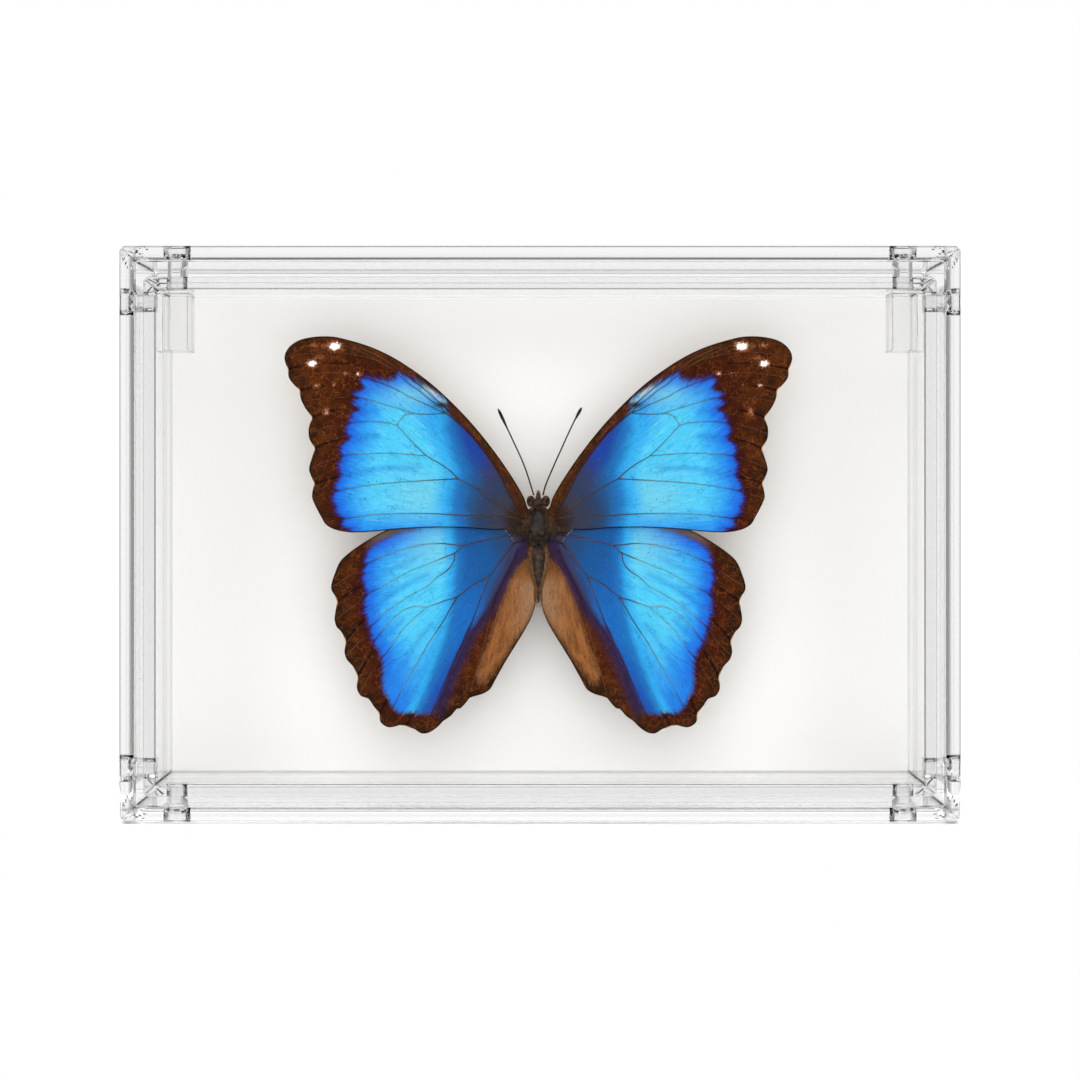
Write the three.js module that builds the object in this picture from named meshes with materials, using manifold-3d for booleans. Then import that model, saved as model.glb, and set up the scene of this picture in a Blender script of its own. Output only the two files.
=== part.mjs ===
// Framed butterfly specimen.
// A blue butterfly with open wings stands on a short post in front of a white board.
// The board sits in the back of an inner frame, and eight pins hold that frame inside a clear
// outer cover.
// Millimetres. X runs to the right, Y from the front panel to the back panel, Z upwards.
// The origin is the middle of the bottom face.

import * as THREE from "three";
import { mergeVertices } from "three/addons/utils/BufferGeometryUtils.js";
import Module from "manifold-3d";

const wasm = await Module();
wasm.setup();

// Whole box
const BOX_WIDTH = 200;
const BOX_DEPTH = 36;
const BOX_HEIGHT = 137;
const FRONT_Y = -BOX_DEPTH / 2;
const BACK_Y = BOX_DEPTH / 2;
const GAP = 0.3;
const EDGE_BEVEL = 0.15;
const CORNER_RADIUS = 0.9;
const CORNER_STEPS = 1;

// Outer cover
const OUTER_WALL = 3.4;
const FRONT_PANEL = 2;
const BACK_PANEL = 2.5;

// Inner frame and board
const INNER_WALL = 3;
const INNER_FROM_SIDE = 5.5;
const INNER_FROM_TOP = 7.3;
const INNER_FROM_BOTTOM = 5.9;
const BOARD_THICKNESS = 5.2;
const BLOCK_WIDTH = 7.1;
const BLOCK_HEIGHT = 14.2;
const BLOCK_DEPTH = 12.4;
const BLOCK_FROM_FRONT = 4;

// Pins
const PIN_RADIUS = 2.4;
const PIN_HEAD_RADIUS = 3.2;
const PIN_HEAD_HEIGHT = 0.7;
const PIN_CONE_HEIGHT = 1.2;
const PIN_RECESS = 0.15;
const PIN_FROM_FRONT = 5.4;
const PIN_FROM_SIDE = 13.4;
const PIN_FROM_TOP = 13.2;
const PIN_FROM_BOTTOM = 12.5;
const PIN_SIDES = 20;
const HOLE_OVERRUN = 1;

// Butterfly. Its own origin is the middle of the thorax.
const BUTTERFLY_PLACE = new THREE.Vector3(-0.4, -1, 70.3);
const WING_THICKNESS = 0.4;
const WING_TILT = THREE.MathUtils.degToRad(2.5);
const FOREWING_DEPTH = -1.1;
const HINDWING_DEPTH = -0.4;
const THORAX_RADII = [2.75, 3.2, 4.9];
const THORAX_HEIGHT = -0.7;
const HEAD_RADII = [1.6, 1.6, 1.9];
const HEAD_HEIGHT = 5.4;
const EYE_RADIUS = 1.15;
const EYE_PLACE = [1.8, -0.3, 6];
const POST_RADIUS = 1.6;
const POST_FOOT_RADIUS = 3.2;
const POST_FOOT_HEIGHT = 1;

// How finely the rounded parts of the body are divided: [around, along]
const THORAX_DIVISIONS = [16, 10];
const HEAD_DIVISIONS = [12, 8];
const EYE_DIVISIONS = [10, 8];
const ABDOMEN_SIDES = 12;
const PALP_SIDES = 8;
const LIMB_SIDES = 6;
const POST_SIDES = 16;

const ACRYLIC = new THREE.MeshStandardMaterial({
  color: 0xf2f4f4, roughness: 0.03, metalness: 0, transparent: true, opacity: 0.3,
});
const BOARD_PAPER = new THREE.MeshStandardMaterial({ color: 0xf7f6f3, roughness: 0.85 });
const WING_BLUE = new THREE.MeshStandardMaterial({ color: 0x2a8fe6, roughness: 0.45 });
const BODY_BROWN = new THREE.MeshStandardMaterial({ color: 0x382b21, roughness: 0.9 });
const ANTENNA_BLACK = new THREE.MeshStandardMaterial({ color: 0x15100c, roughness: 0.6 });

// Wing outlines: [outwards from the body's axis, upwards from the thorax] in millimetres.
// The forewing runs from its root along the leading edge to the tip, down the wavy outer
// edge with its notches, and back along the inner edge.
const FOREWING_OUTLINE = [
  [1, 3], [2.5, 4], [3.5, 6.7], [6.9, 12.5], [11.8, 19.4], [16.6, 25.2], [21.5, 30.3],
  [26.4, 34.7], [31.3, 38.3], [36.1, 41.2], [41, 43.4], [45.9, 44.9], [49.5, 45.7],
  [52.9, 45.8], [55.6, 45.5], [58.1, 44.8], [60.2, 43.4], [61.3, 41.7], [61.5, 40.2],
  [60.8, 37.7], [60.4, 35.6], [58.8, 33.6], [58.1, 32.8], [57.6, 30.7], [56.5, 28.4],
  [55.2, 26.5], [55.1, 25.7], [55.7, 23.5], [55.5, 20.9], [54.4, 18.7], [55.1, 15.8],
  [55.6, 13.4], [54.5, 10.2], [54.9, 7], [53.7, 4], [52.5, 1.8], [51.6, 0.3], [49.6, -0.9],
  [47, -1.5], [44.3, -1.7], [40.3, -1.5], [34.9, -1], [30.3, -0.7], [23.9, -0.5],
  [16.6, -0.7], [11.8, -1.1], [8.1, -1], [5.7, -0.8], [1, -0.6],
];
// The hindwing starts under the forewing and runs down the wavy outer edge to its lowest
// lobes, then up the inner edge beside the abdomen.
const HINDWING_OUTLINE = [
  [0.5, -3], [3.5, -1.8], [6.4, -1.2], [14.2, 0.2], [26.4, 0.2], [33.7, -0.4], [37.1, -1.2],
  [41, -3.3], [43.4, -4.8], [45.9, -6.6], [48.1, -8.7], [49.4, -11.6], [50.3, -14.6],
  [50.1, -16], [49.4, -17.1], [49, -19], [49.5, -22.5], [49, -24.6], [47.8, -25.9],
  [46.9, -28.6], [47.1, -30.6], [46.5, -32.6], [45, -34.3], [44, -37.1], [44.1, -39.5],
  [43.1, -41.4], [41.3, -42.1], [40.2, -43.7], [38.9, -45.5], [38.4, -47.7], [36.5, -49],
  [34.4, -48.7], [33.7, -48.5], [31.8, -49], [30.1, -49.5], [28.5, -50.5], [26.5, -50.3],
  [24.1, -48.6], [23.2, -47.6], [21.3, -46.3], [19.8, -44.6], [19, -44.5], [17.3, -42.7],
  [16.6, -41.9], [13.9, -41.1], [11.8, -39.9], [10.6, -37.8], [8.1, -33.3], [5.7, -29.4],
  [3.2, -25.3], [1.5, -21.9], [0.7, -18.9], [0.7, -15.8], [0.5, -8.5],
];
const OUTLINE_STEPS_PER_POINT = 2;

// Abdomen: [radius, distance from its root], revolved.
const ABDOMEN_PROFILE = [
  [0, 0], [1.6, 0.8], [2.2, 3], [2.1, 4.8], [1.8, 7], [1.45, 9], [1.05, 10.9],
  [0.65, 12.6], [0.35, 14.2], [0, 15.6],
];
const ABDOMEN_ROOT = [0, 0.2, -3.5];
const PALP_PROFILE = [[0, 0], [0.85, 0.3], [0.6, 1.1], [0.25, 2], [0, 2.5]];
const PALP_ROOT = [0, -0.2, 6.3];

// Antennae: [outwards, backwards, upwards] from the thorax, root to tip.
const ANTENNA_PATHS = {
  left: [[1.1, -1, 7.3], [3.4, -1.3, 14.4], [6.4, -1.8, 21.1], [9.8, -2.4, 28.3]],
  right: [[1.1, -1, 7.3], [2.3, -1.2, 11.1], [7.8, -2, 23.4], [10.5, -2.4, 28.6]],
};
const ANTENNA_RADIUS = 0.15;
const ANTENNA_PROFILE_STEPS = 9;
const ANTENNA_TIP_START = 0.985;
const CLUB_RADIUS = 0.32;
const CLUB_START = 0.78;
const CLUB_FULL = 0.94;

// Legs folded behind the thorax: [outwards, backwards, upwards], root to foot.
const LEG_PATHS = {
  middle: [[1.2, 2.8, 2.4], [3.2, 4, 3.6], [3.4, 5.2, -0.5], [2.6, 6, -5.5]],
  hind: [[1.2, 3, -3.6], [3.7, 4, -3.9], [3.1, 5, -8.5], [2, 5.6, -13]],
};
const LEG_PROFILE = [[0, 0], [0.34, 0.02], [0.38, 0.2], [0.25, 0.5], [0.17, 0.75], [0.13, 0.98], [0, 1]];

const SIDE_SIGN = { left: -1, right: 1 };

// Merging the vertices leaves flat triangles at the poles of a revolved shape: those are dropped.
function toManifold(geometry) {
  const bare = geometry.clone();
  bare.deleteAttribute("normal");
  bare.deleteAttribute("uv");
  const merged = mergeVertices(bare);
  const corners = merged.index.array;
  const triangles = [];
  for (let i = 0; i < corners.length; i += 3) {
    const [a, b, c] = corners.subarray(i, i + 3);
    if (a !== b && b !== c && c !== a) {
      triangles.push(a, b, c);
    }
  }
  return new wasm.Manifold(new wasm.Mesh({
    numProp: 3,
    vertProperties: merged.attributes.position.array,
    triVerts: new Uint32Array(triangles),
  }));
}

function fromManifold(solid) {
  const mesh = solid.getMesh();
  const geometry = new THREE.BufferGeometry();
  geometry.setAttribute("position", new THREE.BufferAttribute(mesh.vertProperties, 3));
  geometry.setIndex(new THREE.BufferAttribute(mesh.triVerts, 1));
  geometry.computeVertexNormals();
  return geometry;
}

function cutAway(geometry, tools) {
  let solid = toManifold(geometry);
  for (const tool of tools) {
    solid = solid.subtract(toManifold(tool));
  }
  return fromManifold(solid);
}

function joinAll(geometries) {
  const solids = geometries.map(toManifold);
  return fromManifold(solids.reduce((joined, solid) => joined.add(solid)));
}

// A flat shape drawn in X and Z, thickened from frontY to backY, with small polished bevels.
function plate(shape, frontY, backY) {
  const geometry = new THREE.ExtrudeGeometry(shape, {
    depth: backY - frontY - 2 * EDGE_BEVEL,
    curveSegments: CORNER_STEPS,
    bevelEnabled: true,
    bevelSegments: 1,
    bevelSize: EDGE_BEVEL,
    bevelOffset: -EDGE_BEVEL,
    bevelThickness: EDGE_BEVEL,
  });
  geometry.rotateX(Math.PI / 2);
  geometry.translate(0, backY - EDGE_BEVEL, 0);
  return geometry;
}

function roundedRectangle(left, right, bottom, top, radius) {
  const shape = new THREE.Shape();
  shape.moveTo(left + radius, bottom);
  shape.lineTo(right - radius, bottom);
  shape.absarc(right - radius, bottom + radius, radius, -Math.PI / 2, 0);
  shape.lineTo(right, top - radius);
  shape.absarc(right - radius, top - radius, radius, 0, Math.PI / 2);
  shape.lineTo(left + radius, top);
  shape.absarc(left + radius, top - radius, radius, Math.PI / 2, Math.PI);
  shape.lineTo(left, bottom + radius);
  shape.absarc(left + radius, bottom + radius, radius, Math.PI, 1.5 * Math.PI);
  return shape;
}

// One wall of a mitred frame, with its outer face along y = 0 and its middle at x = 0.
// Each mitred end stands half a gap back from the corner's diagonal.
function mitredWall(length, thickness) {
  const radius = CORNER_RADIUS;
  const setBack = (GAP / 2) * Math.SQRT2;
  const reach = (setBack - Math.sqrt(2 * radius ** 2 - setBack ** 2)) / 2;
  const arcStart = Math.atan2(setBack - reach, reach);
  const end = length / 2;
  const shape = new THREE.Shape();
  shape.moveTo(-end + thickness + setBack, -thickness);
  shape.lineTo(end - thickness - setBack, -thickness);
  shape.absarc(end - radius, -radius, radius, Math.PI - arcStart, Math.PI / 2);
  shape.absarc(-end + radius, -radius, radius, Math.PI / 2, arcStart);
  return shape;
}

// Four mitred walls around an opening, turned about the frame's middle.
function mitredFrame({ left, right, bottom, top }, thickness, frontY, backY) {
  const width = right - left;
  const height = top - bottom;
  const sides = {
    top: { length: width, out: height / 2, turn: 0 },
    right: { length: height, out: width / 2, turn: Math.PI / 2 },
    bottom: { length: width, out: height / 2, turn: Math.PI },
    left: { length: height, out: width / 2, turn: -Math.PI / 2 },
  };
  const walls = {};
  for (const [side, { length, out, turn }] of Object.entries(sides)) {
    const wall = plate(mitredWall(length, thickness), frontY, backY);
    wall.translate(0, 0, out);
    wall.rotateY(turn);
    wall.translate((left + right) / 2, 0, (bottom + top) / 2);
    walls[side] = wall;
  }
  return walls;
}

const OUTER = { left: -BOX_WIDTH / 2, right: BOX_WIDTH / 2, bottom: 0, top: BOX_HEIGHT };
const INNER = {
  left: OUTER.left + INNER_FROM_SIDE,
  right: OUTER.right - INNER_FROM_SIDE,
  bottom: OUTER.bottom + INNER_FROM_BOTTOM,
  top: OUTER.top - INNER_FROM_TOP,
};
const INNER_FRONT_Y = FRONT_Y + FRONT_PANEL + GAP;
const BOARD_BACK_Y = BACK_Y - BACK_PANEL - GAP;
const BOARD_FRONT_Y = BOARD_BACK_Y - BOARD_THICKNESS;

// A pin stands along +Y here, with its head at the bottom and its outer end at zero.
function pinGeometry(length) {
  const coneEnd = PIN_HEAD_HEIGHT + PIN_CONE_HEIGHT;
  return new THREE.LatheGeometry([
    new THREE.Vector2(0, PIN_RECESS),
    new THREE.Vector2(PIN_HEAD_RADIUS, PIN_RECESS),
    new THREE.Vector2(PIN_HEAD_RADIUS, PIN_HEAD_HEIGHT),
    new THREE.Vector2(PIN_RADIUS, coneEnd),
    new THREE.Vector2(PIN_RADIUS, length),
    new THREE.Vector2(0, length),
  ], PIN_SIDES);
}

// The hole for a pin: the pin's form grown by the gap, open at both ends.
function pinHoleGeometry(length) {
  const coneEnd = PIN_HEAD_HEIGHT + PIN_CONE_HEIGHT;
  return new THREE.LatheGeometry([
    new THREE.Vector2(0, -HOLE_OVERRUN),
    new THREE.Vector2(PIN_HEAD_RADIUS + GAP, -HOLE_OVERRUN),
    new THREE.Vector2(PIN_HEAD_RADIUS + GAP, PIN_HEAD_HEIGHT + GAP),
    new THREE.Vector2(PIN_RADIUS + GAP, coneEnd + GAP),
    new THREE.Vector2(PIN_RADIUS + GAP, length + HOLE_OVERRUN),
    new THREE.Vector2(0, length + HOLE_OVERRUN),
  ], PIN_SIDES);
}

// Where each pin starts on the outside of the box, and the way that it runs inwards.
function pinPlaces() {
  const y = FRONT_Y + PIN_FROM_FRONT;
  const x = BOX_WIDTH / 2 - PIN_FROM_SIDE;
  const upper = BOX_HEIGHT - PIN_FROM_TOP;
  const lower = PIN_FROM_BOTTOM;
  const walls = {
    left: { way: [1, 0, 0], length: INNER_FROM_SIDE + INNER_WALL },
    right: { way: [-1, 0, 0], length: INNER_FROM_SIDE + INNER_WALL },
    top: { way: [0, 0, -1], length: INNER_FROM_TOP + INNER_WALL },
    bottom: { way: [0, 0, 1], length: INNER_FROM_BOTTOM + INNER_WALL },
  };
  const places = [
    ["left", "upper", [OUTER.left, y, upper]],
    ["left", "lower", [OUTER.left, y, lower]],
    ["right", "upper", [OUTER.right, y, upper]],
    ["right", "lower", [OUTER.right, y, lower]],
    ["top", "left", [-x, y, OUTER.top]],
    ["top", "right", [x, y, OUTER.top]],
    ["bottom", "left", [-x, y, OUTER.bottom]],
    ["bottom", "right", [x, y, OUTER.bottom]],
  ];
  return places.map(([wall, end, at]) => ({ name: `pin_${wall}_${end}`, wall, at, ...walls[wall] }));
}

function turnAndPlace(geometry, at, way) {
  const up = new THREE.Vector3(0, 1, 0);
  const turn = new THREE.Quaternion().setFromUnitVectors(up, new THREE.Vector3(...way));
  geometry.applyQuaternion(turn);
  geometry.translate(...at);
  return geometry;
}

// A solid of revolution bent along a curve: its length is measured from 0 to 1 on the curve.
function bentLathe(profile, curve, sides) {
  const points = profile.map(([radius, along]) => new THREE.Vector2(radius, along));
  const geometry = new THREE.LatheGeometry(points, sides);
  const position = geometry.attributes.position;
  const centre = new THREE.Vector3();
  const tangent = new THREE.Vector3();
  const across = new THREE.Vector3();
  const upright = new THREE.Vector3();
  const viewAxis = new THREE.Vector3(0, 1, 0);
  for (let i = 0; i < position.count; i += 1) {
    const along = THREE.MathUtils.clamp(position.getY(i), 0, 1);
    curve.getPoint(along, centre);
    curve.getTangent(along, tangent);
    across.crossVectors(viewAxis, tangent).normalize();
    upright.crossVectors(across, tangent);
    centre.addScaledVector(across, position.getX(i));
    centre.addScaledVector(upright, position.getZ(i));
    position.setXYZ(i, centre.x, centre.y, centre.z);
  }
  return geometry;
}

function curveThrough(path, sign) {
  return new THREE.CatmullRomCurve3(path.map(([x, y, z]) => new THREE.Vector3(sign * x, y, z)));
}

function ellipsoid(radii, place, [columns, rows]) {
  const geometry = new THREE.SphereGeometry(1, columns, rows);
  geometry.rotateX(Math.PI / 2);
  geometry.scale(...radii);
  geometry.translate(...place);
  return geometry;
}

function thoraxGeometry(growth) {
  const radii = THORAX_RADII.map((radius) => radius + growth);
  return ellipsoid(radii, [0, 0, THORAX_HEIGHT], THORAX_DIVISIONS);
}

function abdomenGeometry(growth) {
  const points = ABDOMEN_PROFILE.map(([radius, along]) => {
    const isEnd = radius === 0;
    return new THREE.Vector2(isEnd ? 0 : radius + growth, along);
  });
  const geometry = new THREE.LatheGeometry(points, ABDOMEN_SIDES);
  geometry.rotateX(-Math.PI / 2);
  geometry.translate(...ABDOMEN_ROOT);
  return geometry;
}

function palpGeometry() {
  const points = PALP_PROFILE.map(([radius, along]) => new THREE.Vector2(radius, along));
  const geometry = new THREE.LatheGeometry(points, PALP_SIDES);
  geometry.rotateX(Math.PI / 2);
  geometry.translate(...PALP_ROOT);
  return geometry;
}

function bodyGeometry() {
  const [eyeX, eyeY, eyeZ] = EYE_PLACE;
  const eyeRadii = [EYE_RADIUS, EYE_RADIUS, EYE_RADIUS];
  return joinAll([
    thoraxGeometry(0),
    abdomenGeometry(0),
    ellipsoid(HEAD_RADII, [0, 0, HEAD_HEIGHT], HEAD_DIVISIONS),
    ellipsoid(eyeRadii, [-eyeX, eyeY, eyeZ], EYE_DIVISIONS),
    ellipsoid(eyeRadii, [eyeX, eyeY, eyeZ], EYE_DIVISIONS),
    palpGeometry(),
  ]);
}

// A flat wing: its outline is splined, thickened, and tilted so that its tip comes forward.
// Its root is cut back from the body by the gap.
function wingGeometry(outline, sign, depth) {
  const corners = outline.map(([out, up]) => new THREE.Vector3(sign * out, up, 0));
  const spline = new THREE.CatmullRomCurve3(corners, true);
  const points = spline.getPoints(corners.length * OUTLINE_STEPS_PER_POINT);
  points.pop();
  const shape = new THREE.Shape(points.map(({ x, y }) => new THREE.Vector2(x, y)));
  const geometry = new THREE.ExtrudeGeometry(shape, { depth: WING_THICKNESS, bevelEnabled: false });
  geometry.rotateX(Math.PI / 2);
  geometry.rotateZ(-sign * WING_TILT);
  geometry.translate(0, depth, 0);
  return cutAway(geometry, [thoraxGeometry(GAP), abdomenGeometry(GAP)]);
}

// The shaft swells into a club over the last part of its length.
function antennaGeometry(side) {
  const profile = [[0, 0]];
  for (let i = 0; i <= ANTENNA_PROFILE_STEPS; i += 1) {
    const along = i / ANTENNA_PROFILE_STEPS;
    const swell = THREE.MathUtils.smoothstep(along, CLUB_START, CLUB_FULL);
    const radius = THREE.MathUtils.lerp(ANTENNA_RADIUS, CLUB_RADIUS, swell);
    profile.push([radius, Math.min(along, ANTENNA_TIP_START)]);
  }
  profile.push([0, 1]);
  return bentLathe(profile, curveThrough(ANTENNA_PATHS[side], SIDE_SIGN[side]), LIMB_SIDES);
}

function postGeometry() {
  const start = THORAX_RADII[1] + GAP;
  const end = BOARD_FRONT_Y - BUTTERFLY_PLACE.y - GAP;
  return new THREE.LatheGeometry([
    new THREE.Vector2(0, start),
    new THREE.Vector2(POST_RADIUS, start),
    new THREE.Vector2(POST_RADIUS, end - POST_FOOT_HEIGHT),
    new THREE.Vector2(POST_FOOT_RADIUS, end - POST_FOOT_HEIGHT),
    new THREE.Vector2(POST_FOOT_RADIUS, end),
    new THREE.Vector2(0, end),
  ], POST_SIDES).translate(0, 0, THORAX_HEIGHT);
}

function addMesh(group, name, geometry, material) {
  const mesh = new THREE.Mesh(geometry, material);
  mesh.name = name;
  group.add(mesh);
}

function addOuterCover(group) {
  const walls = mitredFrame(OUTER, OUTER_WALL, FRONT_Y, BACK_Y);
  const pins = pinPlaces();
  for (const [side, wall] of Object.entries(walls)) {
    const holes = pins
      .filter((pin) => pin.wall === side)
      .map((pin) => turnAndPlace(pinHoleGeometry(pin.length), pin.at, pin.way));
    addMesh(group, `outer_wall_${side}`, cutAway(wall, holes), ACRYLIC);
  }
  const inset = OUTER_WALL + GAP;
  const panel = roundedRectangle(
    OUTER.left + inset, OUTER.right - inset, OUTER.bottom + inset, OUTER.top - inset, CORNER_RADIUS);
  addMesh(group, "front_panel", plate(panel, FRONT_Y, FRONT_Y + FRONT_PANEL), ACRYLIC);
  addMesh(group, "back_panel", plate(panel, BACK_Y - BACK_PANEL, BACK_Y), ACRYLIC);
}

function addInnerFrame(group) {
  const walls = mitredFrame(INNER, INNER_WALL, INNER_FRONT_Y, BOARD_BACK_Y);
  const pins = pinPlaces();
  for (const [side, wall] of Object.entries(walls)) {
    const holes = pins
      .filter((pin) => pin.wall === side)
      .map((pin) => turnAndPlace(pinHoleGeometry(pin.length), pin.at, pin.way));
    addMesh(group, `inner_wall_${side}`, cutAway(wall, holes), ACRYLIC);
  }
  const inset = INNER_WALL + GAP;
  const board = roundedRectangle(
    INNER.left + inset, INNER.right - inset, INNER.bottom + inset, INNER.top - inset, EDGE_BEVEL);
  addMesh(group, "backing_board", plate(board, BOARD_FRONT_Y, BOARD_BACK_Y), BOARD_PAPER);
}

function addCornerBlocks(group) {
  const inset = INNER_WALL + GAP;
  const top = INNER.top - inset;
  const frontY = FRONT_Y + BLOCK_FROM_FRONT;
  const starts = { left: INNER.left + inset, right: INNER.right - inset - BLOCK_WIDTH };
  for (const [side, start] of Object.entries(starts)) {
    const shape = roundedRectangle(start, start + BLOCK_WIDTH, top - BLOCK_HEIGHT, top, EDGE_BEVEL);
    addMesh(group, `corner_block_${side}`, plate(shape, frontY, frontY + BLOCK_DEPTH), ACRYLIC);
  }
}

function addPins(group) {
  for (const { name, at, way, length } of pinPlaces()) {
    addMesh(group, name, turnAndPlace(pinGeometry(length), at, way), ACRYLIC);
  }
}

function addButterfly(group) {
  const butterfly = new THREE.Group();
  butterfly.position.copy(BUTTERFLY_PLACE);
  addMesh(butterfly, "butterfly_body", bodyGeometry(), BODY_BROWN);
  for (const [side, sign] of Object.entries(SIDE_SIGN)) {
    addMesh(butterfly, `forewing_${side}`, wingGeometry(FOREWING_OUTLINE, sign, FOREWING_DEPTH), WING_BLUE);
    addMesh(butterfly, `hindwing_${side}`, wingGeometry(HINDWING_OUTLINE, sign, HINDWING_DEPTH), WING_BLUE);
    addMesh(butterfly, `antenna_${side}`, antennaGeometry(side), ANTENNA_BLACK);
    for (const [pair, path] of Object.entries(LEG_PATHS)) {
      const leg = bentLathe(LEG_PROFILE, curveThrough(path, sign), LIMB_SIDES);
      addMesh(butterfly, `leg_${pair}_${side}`, leg, BODY_BROWN);
    }
  }
  addMesh(butterfly, "mount_post", postGeometry(), ACRYLIC);
  group.add(butterfly);
}

const specimen = new THREE.Group();
addOuterCover(specimen);
addInnerFrame(specimen);
addCornerBlocks(specimen);
addPins(specimen);
addButterfly(specimen);

export default specimen;
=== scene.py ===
# Framed butterfly specimen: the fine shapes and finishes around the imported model.
# Metres. X runs to the right, Y from the front panel to the back panel, Z upwards.

import math

import bmesh
import bpy
import numpy as np
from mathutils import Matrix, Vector
from mathutils.geometry import delaunay_2d_cdt


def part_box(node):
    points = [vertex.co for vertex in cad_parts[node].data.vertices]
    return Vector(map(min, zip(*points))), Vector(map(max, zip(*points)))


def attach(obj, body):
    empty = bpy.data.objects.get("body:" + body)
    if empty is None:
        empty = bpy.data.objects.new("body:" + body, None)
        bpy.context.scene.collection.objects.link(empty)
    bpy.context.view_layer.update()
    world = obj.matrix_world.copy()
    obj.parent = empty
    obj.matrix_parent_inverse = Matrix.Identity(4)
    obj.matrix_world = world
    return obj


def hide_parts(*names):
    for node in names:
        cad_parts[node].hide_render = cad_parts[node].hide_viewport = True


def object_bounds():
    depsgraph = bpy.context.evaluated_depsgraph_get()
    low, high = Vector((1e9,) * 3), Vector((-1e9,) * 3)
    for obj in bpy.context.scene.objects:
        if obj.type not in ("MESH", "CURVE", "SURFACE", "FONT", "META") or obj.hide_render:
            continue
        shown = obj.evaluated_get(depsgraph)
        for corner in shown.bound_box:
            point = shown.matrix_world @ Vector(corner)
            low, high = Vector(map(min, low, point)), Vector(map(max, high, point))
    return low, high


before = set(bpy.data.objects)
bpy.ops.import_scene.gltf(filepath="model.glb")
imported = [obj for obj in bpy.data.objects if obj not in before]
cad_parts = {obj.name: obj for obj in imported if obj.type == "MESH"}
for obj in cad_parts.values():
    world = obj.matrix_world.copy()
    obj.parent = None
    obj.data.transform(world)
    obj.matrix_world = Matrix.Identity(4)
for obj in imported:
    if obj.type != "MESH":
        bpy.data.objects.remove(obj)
solid_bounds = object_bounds()

MM = 0.001
rng = np.random.default_rng(7)

# Points this close are one point, and faces this narrow are dropped
MERGE_REACH = 1e-6
EMPTY_REACH = 1e-7

# Camera and picture
PICTURE_SIZE = 1080
HORIZON_ROW = 485
CAMERA_DISTANCE = 0.600
LENS_MM = 84.3
SENSOR_MM = 36.0
CAMERA_HEIGHT = 0.0801
CLEAR_BOUNCES = 18
MIRROR_BOUNCES = 10

# How bright the room is, seen in a mirror or through the edge of a sheet
BACK_LEVEL = 1.0
SIDE_LEVEL = 0.36
FRONT_LEVEL = 0.012
# How bright it is straight through whole sheets, around the box and overhead
OPEN_LEVEL = 0.96
CEILING_LEVEL = 0.6
# How much light falls on matt surfaces, from the front and from the sides
LIGHT_FRONT = 1.72
LIGHT_SIDE = 0.8
# How many times stronger that light is from overhead
LIGHT_ABOVE = 3.0

# Where one level turns into the next, as parts of a ray's direction: -1 is the front, 1 the back
BACK_TURN = (0.86, 0.972)
FRONT_TURN = (-0.972, -0.9)
LIGHT_TURN = (-0.95, -0.5)
CLEAR_TURN = (0.72, 0.52)
# The same upwards, where 1 is overhead, and for a slant both sideways and upwards
CEILING_TURN = (0.45, 0.8)
ABOVE_TURN = (0.55, 0.95)
CLEAR_SLANT = (0.05, 0.11)

# The floor's left, right, near and far edges, and how far it lies under the box
FLOOR_REACH = (-0.2, 0.2, -0.03, 0.05)
FLOOR_DROP = 0.0004

# The middle of the thorax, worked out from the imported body
PALP_TIP_ABOVE_THORAX = 8.8 * MM
body_low, body_high = (np.array(corner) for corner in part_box("butterfly_body"))
THORAX = np.array([
    (body_low[0] + body_high[0]) / 2,
    (body_low[1] + body_high[1]) / 2,
    body_high[2] - PALP_TIP_ABOVE_THORAX,
])

# Clear box, in millimetres: round edges at the front and back of the walls, corners and pins
OUTER_EDGES_MM = (1.5, 0.4)
INNER_EDGES_MM = (0.6, 0.3)
CORNER_MM = 1.1
BLOCK_EDGE_MM = 0.3
SEAM_MM = 0.06
SEAM_GROOVE_MM = 0.28
ARC_STEPS = 7
PIN_SIDES = 72
PIN_SHAFT_MM = 2.4
PIN_HEAD_MM = 3.2
PIN_HEAD_HEIGHT_MM = 1.7
PIN_CONE_HEIGHT_MM = 0.25
PIN_PLAY_MM = 0.12

# Wing sheet
GRID_MM = 0.42
GRID_CLEARANCE = 0.3
MEMBRANE_MM = 0.16
VEIN_RIDGE_MM = 0.1
FOLD_VALLEY_MM = 0.14
SWELL_MM = 0.1
FACES_FRONT = -0.9
RIM_STEPS = 3
MARK_STEPS = 3
VEIN_STEPS = 6
VEIN_SIDES = 6
VEIN_BASE_MM = 0.145
VEIN_TIP_MM = 0.045
WING_REACH_MM = 60.0
NO_TAN_MM = -9.0
NO_FOLD_MM = 9.0
PANEL_HAIR_TRIES = 6000
PANEL_HAIR_MM = (0.6, 1.5)
FRINGE_HAIRS = 900
FRINGE_OUT_MM = 3.6
FRINGE_LOW_MM = -19.0
FRINGE_HIGH_MM = -4.5
FRINGE_HAIR_MM = (1.0, 1.8)
WING_HAIR_RADIUS_MM = 0.022

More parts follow.
